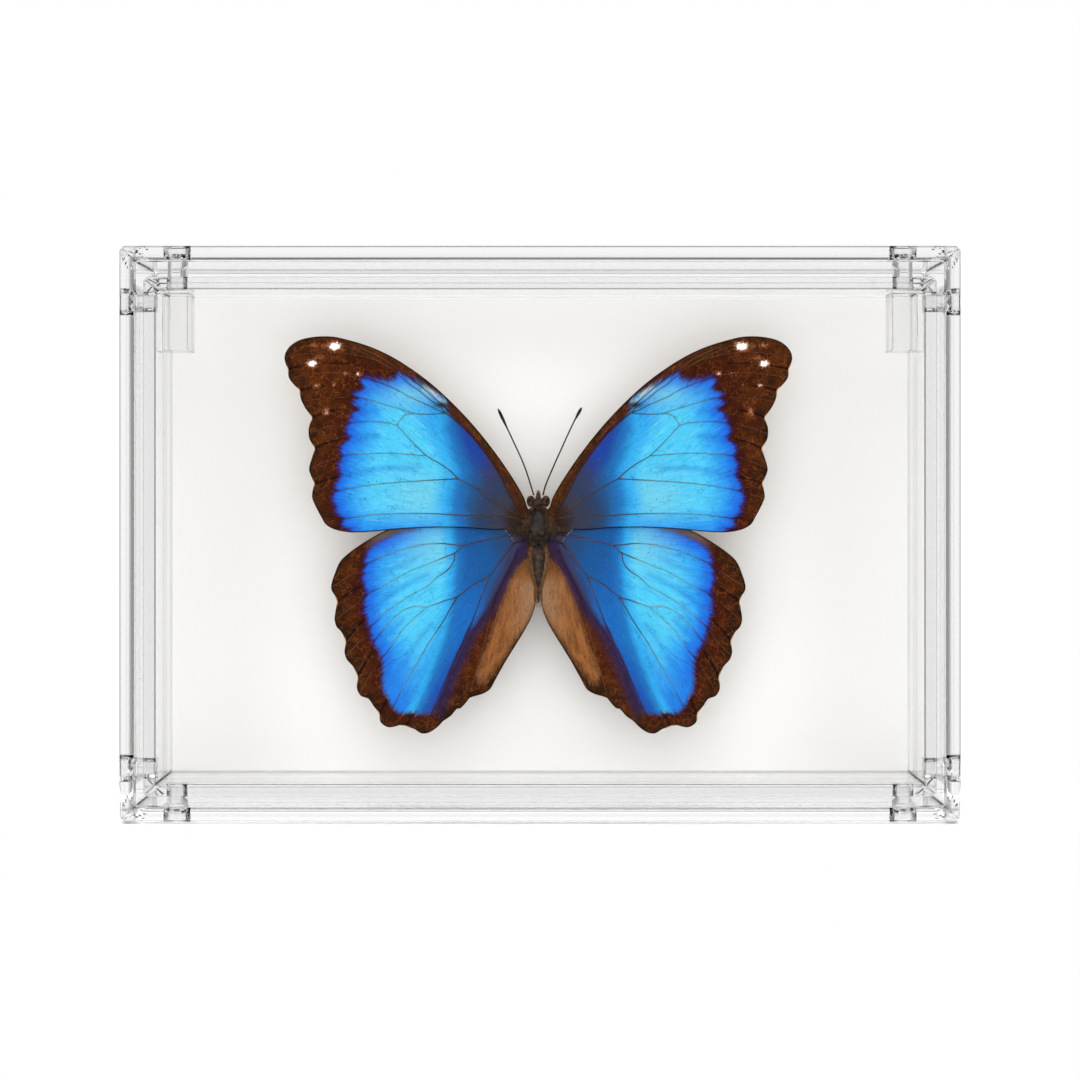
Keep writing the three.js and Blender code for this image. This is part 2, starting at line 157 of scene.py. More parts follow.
# Points on the wings are [outwards from the body's axis, upwards from the thorax] in millimetres.
FOREWING = {
    "root": (3.0, 1.0),
    "veins": {
        "leading": [(4.5, 3.2), (6.9, 7.3), (9.3, 12.2), (11.8, 16.0), (14.2, 19.2), (16.6, 22.2),
                    (19.1, 24.6), (22.5, 27.3), (23.9, 29.0)],
        "costal": [(4.6, 5.5), (8.2, 11.8), (12.6, 17.9), (17.4, 23.4), (22.3, 28.3), (27.4, 32.8),
                   (32.6, 37.0), (38.0, 40.6), (43.5, 43.2)],
        "radial": [(23.9, 29.0), (26.4, 30.6), (28.8, 32.6), (31.3, 34.3), (33.7, 36.3),
                   (36.1, 38.2), (38.6, 39.8), (41.0, 41.2), (43.4, 42.3), (47.1, 43.6), (50.7, 44.6)],
        "radial_fork": [(38.0, 39.4), (39.8, 40.2), (42.2, 40.9), (44.7, 41.4), (47.1, 41.8),
                        (49.5, 42.0), (53.2, 41.9), (61.2, 40.9)],
        "upper": [(22.5, 27.3), (24.7, 28.1), (26.4, 29.0), (28.8, 30.1), (31.3, 31.2), (33.7, 32.6),
                  (36.1, 33.7), (38.6, 34.6), (41.0, 35.4), (43.4, 36.3), (45.9, 36.7),
                  (49.5, 37.0), (53.2, 36.9), (60.3, 35.8)],
        "middle": [(22.5, 27.3), (25.7, 27.0), (28.8, 27.0), (30.8, 27.4), (33.7, 28.3), (36.1, 29.0),
                   (38.6, 29.7), (41.0, 30.5), (43.4, 30.9), (45.9, 31.1), (53.2, 30.6), (57.3, 30.0)],
        "stem": [(2.8, 1.5), (6.9, 3.7), (10.3, 5.8), (14.2, 8.4), (16.6, 9.9), (19.3, 11.3),
                 (21.5, 13.3), (23.9, 15.0), (27.1, 16.9), (30.8, 20.5), (34.2, 24.2)],
        "third": [(34.2, 24.2), (36.1, 24.8), (38.6, 25.1), (41.0, 25.2), (43.4, 25.1),
                  (48.3, 24.4), (52.0, 23.6), (55.4, 22.2)],
        "cross": [(34.2, 24.2), (33.7, 25.3), (32.2, 26.8), (30.0, 27.2)],
        "second": [(27.1, 16.9), (30.0, 17.1), (33.7, 17.4), (38.6, 17.5), (42.2, 17.3),
                   (45.9, 17.1), (50.7, 15.8), (55.2, 14.0)],
        "first": [(19.3, 11.3), (23.9, 11.1), (28.8, 10.8), (33.7, 10.5), (39.0, 10.0),
                  (43.9, 9.3), (50.0, 8.1), (54.6, 6.6)],
        "lower": [(3.2, 1.5), (6.2, 1.9), (9.3, 2.4), (14.2, 2.2), (20.3, 2.6), (28.8, 2.9),
                  (38.8, 2.7), (43.9, 2.1), (47.0, 1.7), (52.4, 1.7)],
    },
    "folds": {
        "lowest": [(54.4, 10.2), (50.7, 11.2), (45.0, 12.6), (37.0, 13.8), (29.0, 14.0)],
        "low": [(54.3, 18.6), (51.2, 20.0), (46.0, 21.2), (39.0, 21.6)],
        "mid": [(55.0, 26.0), (52.0, 27.3), (46.0, 28.3), (39.0, 27.4)],
        "high": [(58.0, 32.7), (53.2, 33.7), (46.0, 34.0), (38.0, 32.3)],
        "highest": [(60.7, 37.9), (53.7, 39.3), (46.0, 39.2)],
    },
    "blue": [
        (3.5, 2.5), (4.9, 4.2), (6.9, 7.6), (9.3, 12.4), (11.8, 16.2), (14.2, 19.4), (16.6, 22.4),
        (19.1, 24.8), (22.2, 27.8), (22.4, 30.0), (23.7, 31.2), (25.7, 32.6), (27.6, 33.9),
        (30.0, 35.4), (32.5, 36.8), (33.7, 37.5), (34.7, 36.8), (34.9, 35.6), (36.6, 35.3),
        (38.6, 35.6), (40.5, 35.8), (42.6, 36.2), (43.2, 35.1), (42.8, 33.3), (43.9, 32.6),
        (44.9, 31.9), (44.3, 30.9), (45.0, 30.0), (44.8, 29.0), (44.0, 28.3), (45.2, 27.3),
        (45.7, 26.0), (46.8, 23.8), (46.6, 22.5), (46.1, 21.5), (47.0, 20.4), (48.0, 19.0),
        (47.9, 16.3), (48.6, 15.0), (48.1, 12.7), (48.9, 11.2), (49.3, 9.5), (49.8, 6.8),
        (50.0, 5.6), (49.0, 4.6), (49.3, 3.4), (47.6, 1.2), (47.6, -0.2), (45.9, -1.2),
        (44.0, -4.0), (3.0, -4.0), (3.0, 0.0),
    ],
    "bright": [(21.5, 29.0), (22.2, 24.4), (21.5, 20.7), (20.3, 17.1), (19.1, 13.4), (19.6, 11.0),
               (20.8, 6.1), (20.3, 1.2), (20.3, -4.0)],
    "bright_sharpness": 1.0,
    "pale_veins": 0.55,
    "navy_line": "leading",
    "milky": [((28.0, 7.0), (7.5, 5.5)), ((30.5, 31.5), (7.0, 3.2))],
    "spots": [
        ((49.3, 43.4), (1.75, 1.2), 1.25), ((51.6, 43.5), (1.6, 0.9), 0.42),
        ((54.8, 39.2), (1.35, 1.0), 1.15), ((53.2, 40.6), (1.8, 1.2), 0.4),
        ((54.4, 43.6), (1.2, 0.8), 0.5), ((53.6, 33.9), (0.75, 0.5), 0.85),
        ((43.7, 36.7), (0.75, 0.65), 0.8), ((46.7, 36.9), (0.9, 0.6), 0.5),
        ((49.5, 34.1), (0.5, 0.45), 0.6), ((51.4, 27.5), (0.9, 1.1), 0.62),
    ],
    "smudge": ((23.5, 29.2), (2.0, 0.9)),
    "pale": [(22.9, 30.3), (25.0, 31.9), (27.3, 33.4)],
    "tan": None,
}
HINDWING = {
    "root": (4.0, -3.5),
    "veins": {
        "stem": [(6.4, -2.2), (9.3, -2.8), (11.8, -3.3), (14.2, -3.9), (18.2, -4.9)],
        "upper": [(18.2, -4.9), (21.5, -4.6), (23.9, -4.4), (26.4, -4.5), (28.8, -4.8), (31.3, -5.4),
                  (33.7, -6.1), (36.1, -6.9), (38.6, -7.9), (41.0, -9.0), (43.4, -10.5),
                  (45.9, -12.2), (49.9, -14.9)],
        "second": [(18.2, -4.9), (20.3, -6.7), (23.9, -8.2), (27.6, -9.7), (31.3, -11.1),
                   (34.9, -13.2), (38.6, -15.2), (41.0, -16.4), (43.4, -18.3), (49.2, -22.9)],
        "crease": [(20.3, -6.7), (20.5, -8.5), (21.3, -10.0), (22.7, -11.4), (24.7, -12.7),
                   (27.1, -14.9), (30.5, -16.7), (35.2, -19.7), (37.8, -21.9), (40.8, -24.7),
                   (43.2, -27.9), (46.6, -31.6)],
        "lower_stem": [(3.2, -3.9), (5.7, -4.4), (6.9, -5.8), (9.3, -8.8), (11.9, -12.2),
                       (15.4, -14.1), (19.6, -17.3), (22.7, -18.3), (27.1, -19.9)],
        "fourth": [(27.1, -19.9), (30.0, -19.7), (32.5, -20.5), (34.9, -22.2), (37.3, -24.8),
                   (41.0, -30.0), (44.2, -36.5)],
        "third": [(27.1, -19.9), (28.8, -21.4), (31.3, -23.6), (33.7, -26.3), (36.1, -30.0),
                  (38.6, -32.9), (41.0, -36.5), (42.9, -40.2)],
        "fifth": [(19.6, -17.3), (21.5, -20.5), (23.0, -23.1), (26.4, -28.3), (28.8, -32.4),
                  (31.3, -36.5), (33.7, -41.0), (35.2, -44.0), (37.0, -47.8)],
        "sixth": [(11.9, -12.2), (12.7, -14.6), (14.2, -18.3), (15.7, -22.4), (17.1, -25.6),
                  (19.1, -30.0), (21.0, -34.1), (22.7, -38.3), (24.7, -42.6), (27.1, -48.7)],
        "inner": [(4.9, -6.1), (7.6, -11.8), (10.1, -16.9), (11.8, -23.1), (13.0, -28.0),
                  (14.7, -34.1), (16.4, -40.0)],
    },
    "folds": {
        "first": [(49.2, -18.6), (44.0, -15.2), (38.0, -12.0), (30.0, -8.4)],
        "second": [(46.8, -28.0), (41.0, -21.4), (34.0, -15.6), (27.0, -12.0)],
        "third": [(44.2, -37.0), (39.0, -29.0), (33.0, -23.0)],
        "fourth": [(38.5, -46.0), (35.0, -38.0), (31.0, -31.0), (26.0, -24.0)],
        "fifth": [(32.0, -48.6), (28.0, -40.0), (24.0, -31.0), (19.0, -21.0)],
        "anal": [(12.0, -39.0), (9.6, -28.0), (7.4, -18.0), (4.6, -9.0)],
    },
    "blue": [
        (6.0, 3.0), (29.0, 3.0), (30.0, -0.7), (33.7, -1.6), (36.1, -2.6), (38.6, -3.8), (40.5, -5.1),
        (41.7, -6.6), (42.2, -8.5), (42.5, -10.5), (42.7, -12.4), (42.9, -14.1), (42.0, -15.8),
        (42.5, -17.8), (42.2, -19.5), (42.5, -21.4), (41.7, -23.1), (41.5, -24.8), (40.8, -26.6),
        (40.0, -29.7), (38.8, -30.7), (38.3, -32.4), (37.8, -33.6), (37.8, -37.3), (37.3, -40.9),
        (36.1, -43.1), (35.2, -44.6), (33.7, -45.3), (30.0, -45.8), (25.9, -45.6), (23.9, -41.4),
        (21.5, -35.3), (19.1, -30.0), (17.1, -25.6), (15.4, -23.6), (13.0, -20.7), (10.1, -15.8),
        (8.1, -12.2), (6.2, -8.5), (4.9, -5.6), (4.0, -2.5),
    ],
    "bright": [(20.3, 3.0), (20.3, -1.2), (19.8, -8.5), (20.3, -15.8), (21.0, -20.7), (22.2, -26.8),
               (23.9, -31.7), (25.9, -36.5), (27.6, -40.9), (29.3, -44.6), (31.0, -50.0)],
    "bright_sharpness": 1.6,
    "pale_veins": 0.95,
    "navy_line": "inner",
    "milky": [((26.0, -5.0), (6.5, 6.0))],
    "spots": [],
    "tan": [(2.6, -7.6), (5.0, -9.6), (7.2, -13.6), (10.1, -21.2), (12.5, -28.0), (13.6, -31.5),
            (15.4, -35.8), (14.7, -38.7), (12.7, -38.7), (10.8, -36.0), (8.6, -33.0), (3.0, -24.5),
            (0.0, -19.0), (0.0, -8.0)],
}


# Plain geometry

def smooth_line(points, steps, closed=False):
    """Points along a Catmull-Rom curve through the given ones."""
    points = np.asarray(points, float)
    if closed:
        padded = np.vstack([points[-1:], points, points[:2]])
    else:
        before = 2 * points[0] - points[1]
        after = 2 * points[-1] - points[-2]
        padded = np.vstack([before, points, after])
    t = np.arange(steps)[:, None] / steps
    pieces = []
    for a, b, c, d in zip(padded, padded[1:], padded[2:], padded[3:]):
        pieces.append(0.5 * (2 * b + (c - a) * t + (2 * a - 5 * b + 4 * c - d) * t ** 2
                             + (3 * b - a - 3 * c + d) * t ** 3))
    line = np.vstack(pieces)
    return line if closed else np.vstack([line, points[-1:]])


def line_distance(points, line):
    """How far each point is from a run of straight stretches."""
    start = line[:-1]
    way = line[1:] - start
    length_sq = np.maximum((way ** 2).sum(1), 1e-12)
    offset = points[:, None] - start[None]
    along = np.clip((offset * way).sum(2) / length_sq, 0, 1)
    off_line = offset - along[..., None] * way
    return np.sqrt((off_line ** 2).sum(2)).min(1)


def loop_distance(points, loop):
    return line_distance(points, np.vstack([loop, loop[:1]]))


def inside_loop(points, loop):
    x = points[:, 0, None]
    y = points[:, 1, None]
    x1, y1 = loop[:, 0], loop[:, 1]
    x2, y2 = np.roll(x1, -1), np.roll(y1, -1)
    rise = np.where(y2 == y1, 1e-12, y2 - y1)
    crossed = ((y1 > y) != (y2 > y)) & (x < (x2 - x1) * (y - y1) / rise + x1)
    return crossed.sum(1) % 2 == 1


def signed_depth(points, loop):
    """Distance to a closed outline, positive inside it."""
    return np.where(inside_loop(points, loop), 1.0, -1.0) * loop_distance(points, loop)


def soft_step(value, low, high):
    t = np.clip((value - low) / (high - low), 0, 1)
    return t * t * (3 - 2 * t)


def unit(vectors):
    return vectors / np.maximum(np.linalg.norm(vectors, axis=-1, keepdims=True), 1e-12)


class Sheet:
    """Gathers vertices, faces and material numbers, and makes one object of them."""

    def __init__(self):
        self.verts = []
        self.faces = []
        self.materials = []
        self.count = 0

    def add(self, verts, faces, material=0):
        self.verts.append(np.asarray(verts, float))
        self.faces.extend([tuple(int(i) + self.count for i in face) for face in faces])
        self.materials.extend([material] * len(faces))
        self.count += len(verts)

    def points(self):
        return np.vstack(self.verts)

    def make(self, name, materials, values=None):
        mesh = bpy.data.meshes.new(name)
        mesh.from_pydata([tuple(v) for v in self.points()], [], self.faces)
        for material in materials:
            mesh.materials.append(material)
        mesh.polygons.foreach_set("material_index", self.materials)
        mesh.polygons.foreach_set("use_smooth", [True] * len(mesh.polygons))
        for key, data in (values or {}).items():
            mesh.attributes.new(key, "FLOAT", "POINT").data.foreach_set("value", data.astype(np.float32))
        turn_outwards(mesh)
        piece = bpy.data.objects.new(name, mesh)
        bpy.context.scene.collection.objects.link(piece)
        return piece


def turn_outwards(mesh):
    shape = bmesh.new()
    shape.from_mesh(mesh)
    bmesh.ops.recalc_face_normals(shape, faces=shape.faces)
    shape.to_mesh(mesh)
    shape.free()


def tube(path, radii, sides):
    """A closed round rod along a path, with a radius at each point."""
    tangents = unit(np.gradient(path, axis=0))
    side = unit(np.cross(tangents, (0.0, -1.0, 0.0)))
    up = np.cross(side, tangents)
    angles = np.arange(sides) * 2 * math.pi / sides
    ring = np.cos(angles)[None, :, None] * side[:, None] + np.sin(angles)[None, :, None] * up[:, None]
    verts = (path[:, None] + ring * np.asarray(radii)[:, None, None]).reshape(-1, 3)
    faces = []
    for i in range(len(path) - 1):
        for j in range(sides):
            k = (j + 1) % sides
            faces.append((i * sides + j, i * sides + k, (i + 1) * sides + k, (i + 1) * sides + j))
    last = (len(path) - 1) * sides
    faces.append(tuple(range(sides)))
    faces.append(tuple(last + j for j in reversed(range(sides))))
    return verts, faces


# A hair has two rings of three points and a tip.
HAIR_POINTS = 7
HAIR_TURNS = (0.0, 2.1, 4.2)
HAIR_BEND = 0.55
HAIR_TAPER = 0.75


def hairs(roots, ways, lengths, radius, droop):
    """Many thin tapered three-sided hairs, each with one soft bend."""
    count = len(roots)
    ways = unit(ways)
    side = unit(np.cross(ways, rng.normal(size=(count, 3))))
    other = np.cross(ways, side)
    middle = roots + ways * lengths[:, None] * HAIR_BEND
    tips = roots + ways * lengths[:, None] + droop * lengths[:, None]
    corners = []
    for base, scale in ((roots, 1.0), (middle, HAIR_TAPER)):
        for turn in HAIR_TURNS:
            corners.append(base + (math.cos(turn) * side + math.sin(turn) * other) * radius * scale)
    verts = np.stack(corners + [tips], axis=1).reshape(-1, 3)
    pattern = [(0, 1, 4, 3), (1, 2, 5, 4), (2, 0, 3, 5), (3, 4, 6), (4, 5, 6), (5, 3, 6), (0, 2, 1)]
    faces = [tuple(HAIR_POINTS * n + i for i in face) for n in range(count) for face in pattern]
    return verts, faces


# Shader building

# Places of the colour sockets on a Mix node, whose names are used more than once
MIX_SHARE = 0
MIX_FIRST = 6
MIX_SECOND = 7
MIX_COLOUR = 2


class Graph:
    """Adds nodes to one node tree and links them."""

    def __init__(self, tree):
        self.tree = tree

    def add(self, kind, inputs=None, **settings):
        node = self.tree.nodes.new(kind)
        for key, value in settings.items():
            setattr(node, key, value)
        for key, value in (inputs or {}).items():
            self.feed(node.inputs[key], value)
        return node

    def feed(self, socket, value):
        if isinstance(value, bpy.types.NodeSocket):
            self.tree.links.new(value, socket)
        else:
            socket.default_value = value

    def mark(self, name):
        return self.add("ShaderNodeAttribute", attribute_name=name).outputs["Fac"]

    def math(self, operation, *values):
        node = self.add("ShaderNodeMath", operation=operation)
        for i, value in enumerate(values):
            self.feed(node.inputs[i], value)
        return node.outputs[0]

    def step(self, value, low, high, start=0.0, end=1.0):
        """A soft step of value from start at low to end at high."""
        node = self.add("ShaderNodeMapRange", interpolation_type="SMOOTHSTEP", inputs={
            "Value": value, "From Min": low, "From Max": high, "To Min": start, "To Max": end})
        return node.outputs["Result"]

    def blend(self, share, first, second):
        """The first colour where share is 0, the second where it is 1."""
        node = self.add("ShaderNodeMix", data_type="RGBA")
        self.feed(node.inputs[MIX_SHARE], share)
        self.feed(node.inputs[MIX_FIRST], first)
        self.feed(node.inputs[MIX_SECOND], second)
        return node.outputs[MIX_COLOUR]

    def place(self, scale):
        """Object coordinates in millimetres, times a scale for each axis."""
        where = self.add("ShaderNodeTexCoord").outputs["Object"]
        factors = tuple(share / MM for share in scale)
        return self.add("ShaderNodeVectorMath", operation="MULTIPLY",
                        inputs={0: where, 1: factors}).outputs[0]

    def noise(self, vector, scale, detail=2.0, roughness=0.5, distortion=0.0):
        return self.add("ShaderNodeTexNoise", inputs={
            "Vector": vector, "Scale": scale, "Detail": detail, "Roughness": roughness,
            "Distortion": distortion}).outputs["Fac"]

    def bump(self, height, strength, distance_mm):
        return self.add("ShaderNodeBump", inputs={
            "Height": height, "Strength": strength, "Distance": distance_mm * MM}).outputs["Normal"]


def srgb(red, green, blue):
    """A display colour from 0 to 255 as a linear colour."""
    def linear(value):
        value /= 255.0
        return value / 12.92 if value <= 0.04045 else ((value + 0.055) / 1.055) ** 2.4
    return (linear(red), linear(green), linear(blue), 1.0)


def new_material(name):
    material = bpy.data.materials.new(name)
    material.use_nodes = True
    tree = material.node_tree
    shader = tree.nodes["Principled BSDF"]
    return material, Graph(tree), shader


def new_group(name, inputs, outputs):
    """A shader node group, its graph and the nodes at its two ends."""
    tree = bpy.data.node_groups.new(name, "ShaderNodeTree")
    for label, kind in inputs:
        tree.interface.new_socket(label, in_out="INPUT", socket_type=kind)
    for label, kind in outputs:
        tree.interface.new_socket(label, in_out="OUTPUT", socket_type=kind)
    graph = Graph(tree)
    start = graph.add("NodeGroupInput")
    end = graph.add("NodeGroupOutput")
    return tree, graph, start.outputs, end.inputs


def use_group(graph, tree, inputs):
    node = graph.add("ShaderNodeGroup", node_tree=tree)
    for key, value in inputs.items():
        graph.feed(node.inputs[key], value)
    return node.outputs


def streaks_group():
    """Fine streaks that fan out from the wing's root, as rows of scales do."""
    tree, graph, given, out = new_group(
        "fanned streaks", [("Fineness", "NodeSocketFloat")], [("Value", "NodeSocketFloat")])
    across = graph.math("MULTIPLY", graph.mark("sweep"), given["Fineness"])
    along = graph.math("MULTIPLY", graph.mark("reach"), 0.22)
    vector = graph.add("ShaderNodeCombineXYZ", inputs={"X": across, "Y": along}).outputs[0]
    graph.feed(out["Value"], graph.noise(vector, 1.0, 5.0, 0.62, 0.4))
    return tree


def wrinkles_group():
    """Thin wandering hairlines, as on a dried membrane."""
    tree, graph, given, out = new_group(
        "membrane hairlines",
        [("Scale", "NodeSocketFloat"), ("Width", "NodeSocketFloat"), ("Bare", "NodeSocketFloat")],
        [("Value", "NodeSocketFloat")])
    where = graph.place((1, 1, 1))
    warp = graph.add("ShaderNodeTexNoise", inputs={"Vector": where, "Scale": 0.45, "Detail": 3.0})
    pushed = graph.add("ShaderNodeVectorMath", operation="MULTIPLY_ADD", inputs={
        0: warp.outputs["Color"], 1: (3.2, 3.2, 3.2), 2: where}).outputs[0]
    cells = graph.add("ShaderNodeTexVoronoi", feature="DISTANCE_TO_EDGE", inputs={
        "Vector": pushed, "Scale": given["Scale"]})
    line = graph.step(cells.outputs["Distance"], 0.0, given["Width"], 1.0, 0.0)
    covered = graph.math("ADD", given["Bare"], 0.16)
    patches = graph.step(graph.noise(where, 0.5, 2.0), given["Bare"], covered)
    graph.feed(out["Value"], graph.math("MULTIPLY", line, patches))
    return tree


streaks = streaks_group()
wrinkles = wrinkles_group()


# Materials

def centred(graph, value, size):
    """A noise value moved to run evenly around nought."""
    return graph.math("MULTIPLY", graph.math("SUBTRACT", value, 0.5), size)


def forewing_dusk(graph):
    """Brown at the root, then grey-violet, slate and deep blue, and navy along the leading vein."""
    reach = graph.mark("reach")
    dusk = graph.blend(graph.step(reach, 3.2, 6.6), srgb(54, 33, 21), srgb(56, 60, 78))
    dusk = graph.blend(graph.step(reach, 7.0, 11.0), dusk, srgb(43, 62, 94))
    dusk = graph.blend(graph.step(reach, 10.0, 17.5), dusk, srgb(26, 92, 152))
    near = graph.step(graph.mark("navy_mm"), 7.5, 1.5)
    far = graph.blend(graph.step(reach, 12.0, 21.0), srgb(54, 58, 88), srgb(25, 64, 156))
    return graph.blend(graph.math("MULTIPLY", near, graph.step(reach, 9.0, 13.0)), dusk, far)


def hindwing_dusk(graph):
    """Slate at the root, then deep blue, and grey-violet along the inner vein."""
    reach = graph.mark("reach")
    dusk = graph.blend(graph.step(reach, 1.0, 5.0), srgb(62, 56, 64), srgb(34, 74, 124))
    dusk = graph.blend(graph.step(reach, 5.0, 10.0), dusk, srgb(17, 86, 152))
    dusk = graph.blend(graph.step(reach, 9.0, 24.0), dusk, srgb(20, 106, 190))
    dusk = graph.blend(graph.math("MULTIPLY", graph.mark("deep"), 0.8), dusk, srgb(22, 74, 168))
    near = graph.step(graph.mark("navy_mm"), 3.6, 0.8)
    return graph.blend(graph.math("MULTIPLY", near, 0.9), dusk, srgb(54, 56, 88))


def blue_ground(graph, depth, bright_side, coarse, stroke):
    """Blue from its violet edge to the bright middle, and dusky towards the root."""
    blue = graph.blend(graph.step(depth, -0.3, 1.2), srgb(40, 36, 132), srgb(26, 106, 224))
    blue = graph.blend(graph.step(depth, 0.8, 4.6), blue, srgb(42, 158, 240))
    blue = graph.blend(graph.step(depth, 3.5, 9.5), blue, srgb(78, 205, 247))
    inside = graph.step(depth, 2.0, 8.0)
    pale = graph.math("MULTIPLY", graph.step(coarse, 0.45, 0.72), inside)
    blue = graph.blend(graph.math("MULTIPLY", pale, 0.5), blue, srgb(116, 222, 250))
    strokes = graph.math("MULTIPLY", graph.step(stroke, 0.5, 0.74), inside)
    blue = graph.blend(graph.math("MULTIPLY", strokes, 0.4), blue, srgb(34, 148, 226))
    # Painted shade: a darker blue along the fold valleys.
    blue = graph.blend(graph.math("MULTIPLY", graph.mark("crease"), 0.45), blue, srgb(30, 132, 218))
    blue = graph.blend(graph.math("MULTIPLY", graph.mark("milky"), 0.7), blue, srgb(124, 211, 231))
    blue = graph.blend(graph.math("MULTIPLY", graph.mark("deep"), 0.8), blue, srgb(32, 128, 226))
    dusk = graph.blend(graph.mark("inner_zone"), forewing_dusk(graph), hindwing_dusk(graph))
    dusk = graph.blend(graph.step(bright_side, -4.5, 0.0), dusk, srgb(28, 116, 190))
    middle = graph.blend(graph.step(bright_side, 1.2, 6.5), srgb(48, 172, 236), blue)
    blue = graph.blend(graph.step(bright_side, -1.2, 2.4), dusk, middle)
    feathers = graph.math("MULTIPLY", graph.mark("pale"), graph.step(coarse, 0.4, 0.56, 0.1, 1.0))
    return graph.blend(feathers, blue, srgb(196, 232, 242))


def brown_ground(graph, depth, fine, speckle, mottle, lines, where):
    """Brown margin: smoky rim, reddish towards the blue, with gold flecks, hairlines, and dark fold lines
    painted as shade in the fold valleys.
    """
    edge = graph.mark("edge_mm")
    brown = graph.blend(graph.step(mottle, 0.35, 0.65), srgb(58, 23, 5), srgb(80, 37, 9))
    smoky = graph.math("MULTIPLY", graph.step(edge, 5.0, 0.8), graph.step(mottle, 0.4, 0.6, 1.0, 0.3))
    brown = graph.blend(smoky, brown, srgb(46, 26, 9))
    outer = graph.step(graph.mark("bright_mm"), -6.0, 0.0)
    red = graph.math("MULTIPLY", graph.step(depth, -5.0, -0.8, 0.0, 0.75), outer)
    brown = graph.blend(red, brown, srgb(56, 18, 5))
    brown = graph.blend(graph.step(speckle, 0.52, 0.74, 0.0, 0.6), brown, srgb(36, 16, 6))
    wine = graph.math("MULTIPLY", graph.step(depth, -1.2, 0.0, 0.0, 0.8), outer)
    brown = graph.blend(wine, brown, srgb(50, 14, 40))
    flecks = graph.math("ADD", graph.mark("fleck"), centred(graph, speckle, 1.5))
    brown = graph.blend(graph.step(flecks, 0.4, 0.95, 0.0, 0.8), brown, srgb(176, 114, 68))
    warm = graph.noise(where, 0.5, 5.0, 0.7, 1.2)
    brown = graph.blend(graph.step(warm, 0.54, 0.7, 0.0, 0.45), brown, srgb(120, 60, 18))
    brown = graph.blend(graph.math("MULTIPLY", lines, 0.6), brown, srgb(150, 82, 34))
    # Painted shade: dark lines along the folds, where the membrane dips into valleys.
    brown = graph.blend(graph.step(graph.mark("fold_mm"), 0.1, 0.46, 0.9, 0.0), brown, srgb(20, 9, 4))
    inner = graph.math("MULTIPLY", graph.step(graph.mark("navy_mm"), 12.0, 8.0), graph.mark("inner_zone"))
    purple = graph.math("MULTIPLY", graph.step(depth, -3.8, -0.8, 0.0, 0.9), inner)
    brown = graph.blend(purple, brown, srgb(42, 34, 70))
    bands = graph.math("MULTIPLY", graph.mark("light_brown"), graph.step(fine, 0.3, 0.7, 0.4, 1.0))
    brown = graph.blend(bands, brown, srgb(116, 70, 34))
    return graph.blend(graph.mark("costal_grey"), brown, srgb(108, 88, 76))


def tan_ground(graph, coarse, fine):
    """Hairy tan panel beside the abdomen, darker at its outer edge and its upper end."""
    colour = graph.blend(graph.step(coarse, 0.3, 0.7), srgb(122, 66, 24), srgb(170, 108, 56))
    colour = graph.blend(graph.mark("tan_light"), colour, srgb(170, 134, 102))
    colour = graph.blend(graph.step(fine, 0.5, 0.8, 0.0, 0.35), colour, srgb(186, 138, 96))
    return graph.blend(graph.mark("tan_dark"), colour, srgb(72, 42, 20))


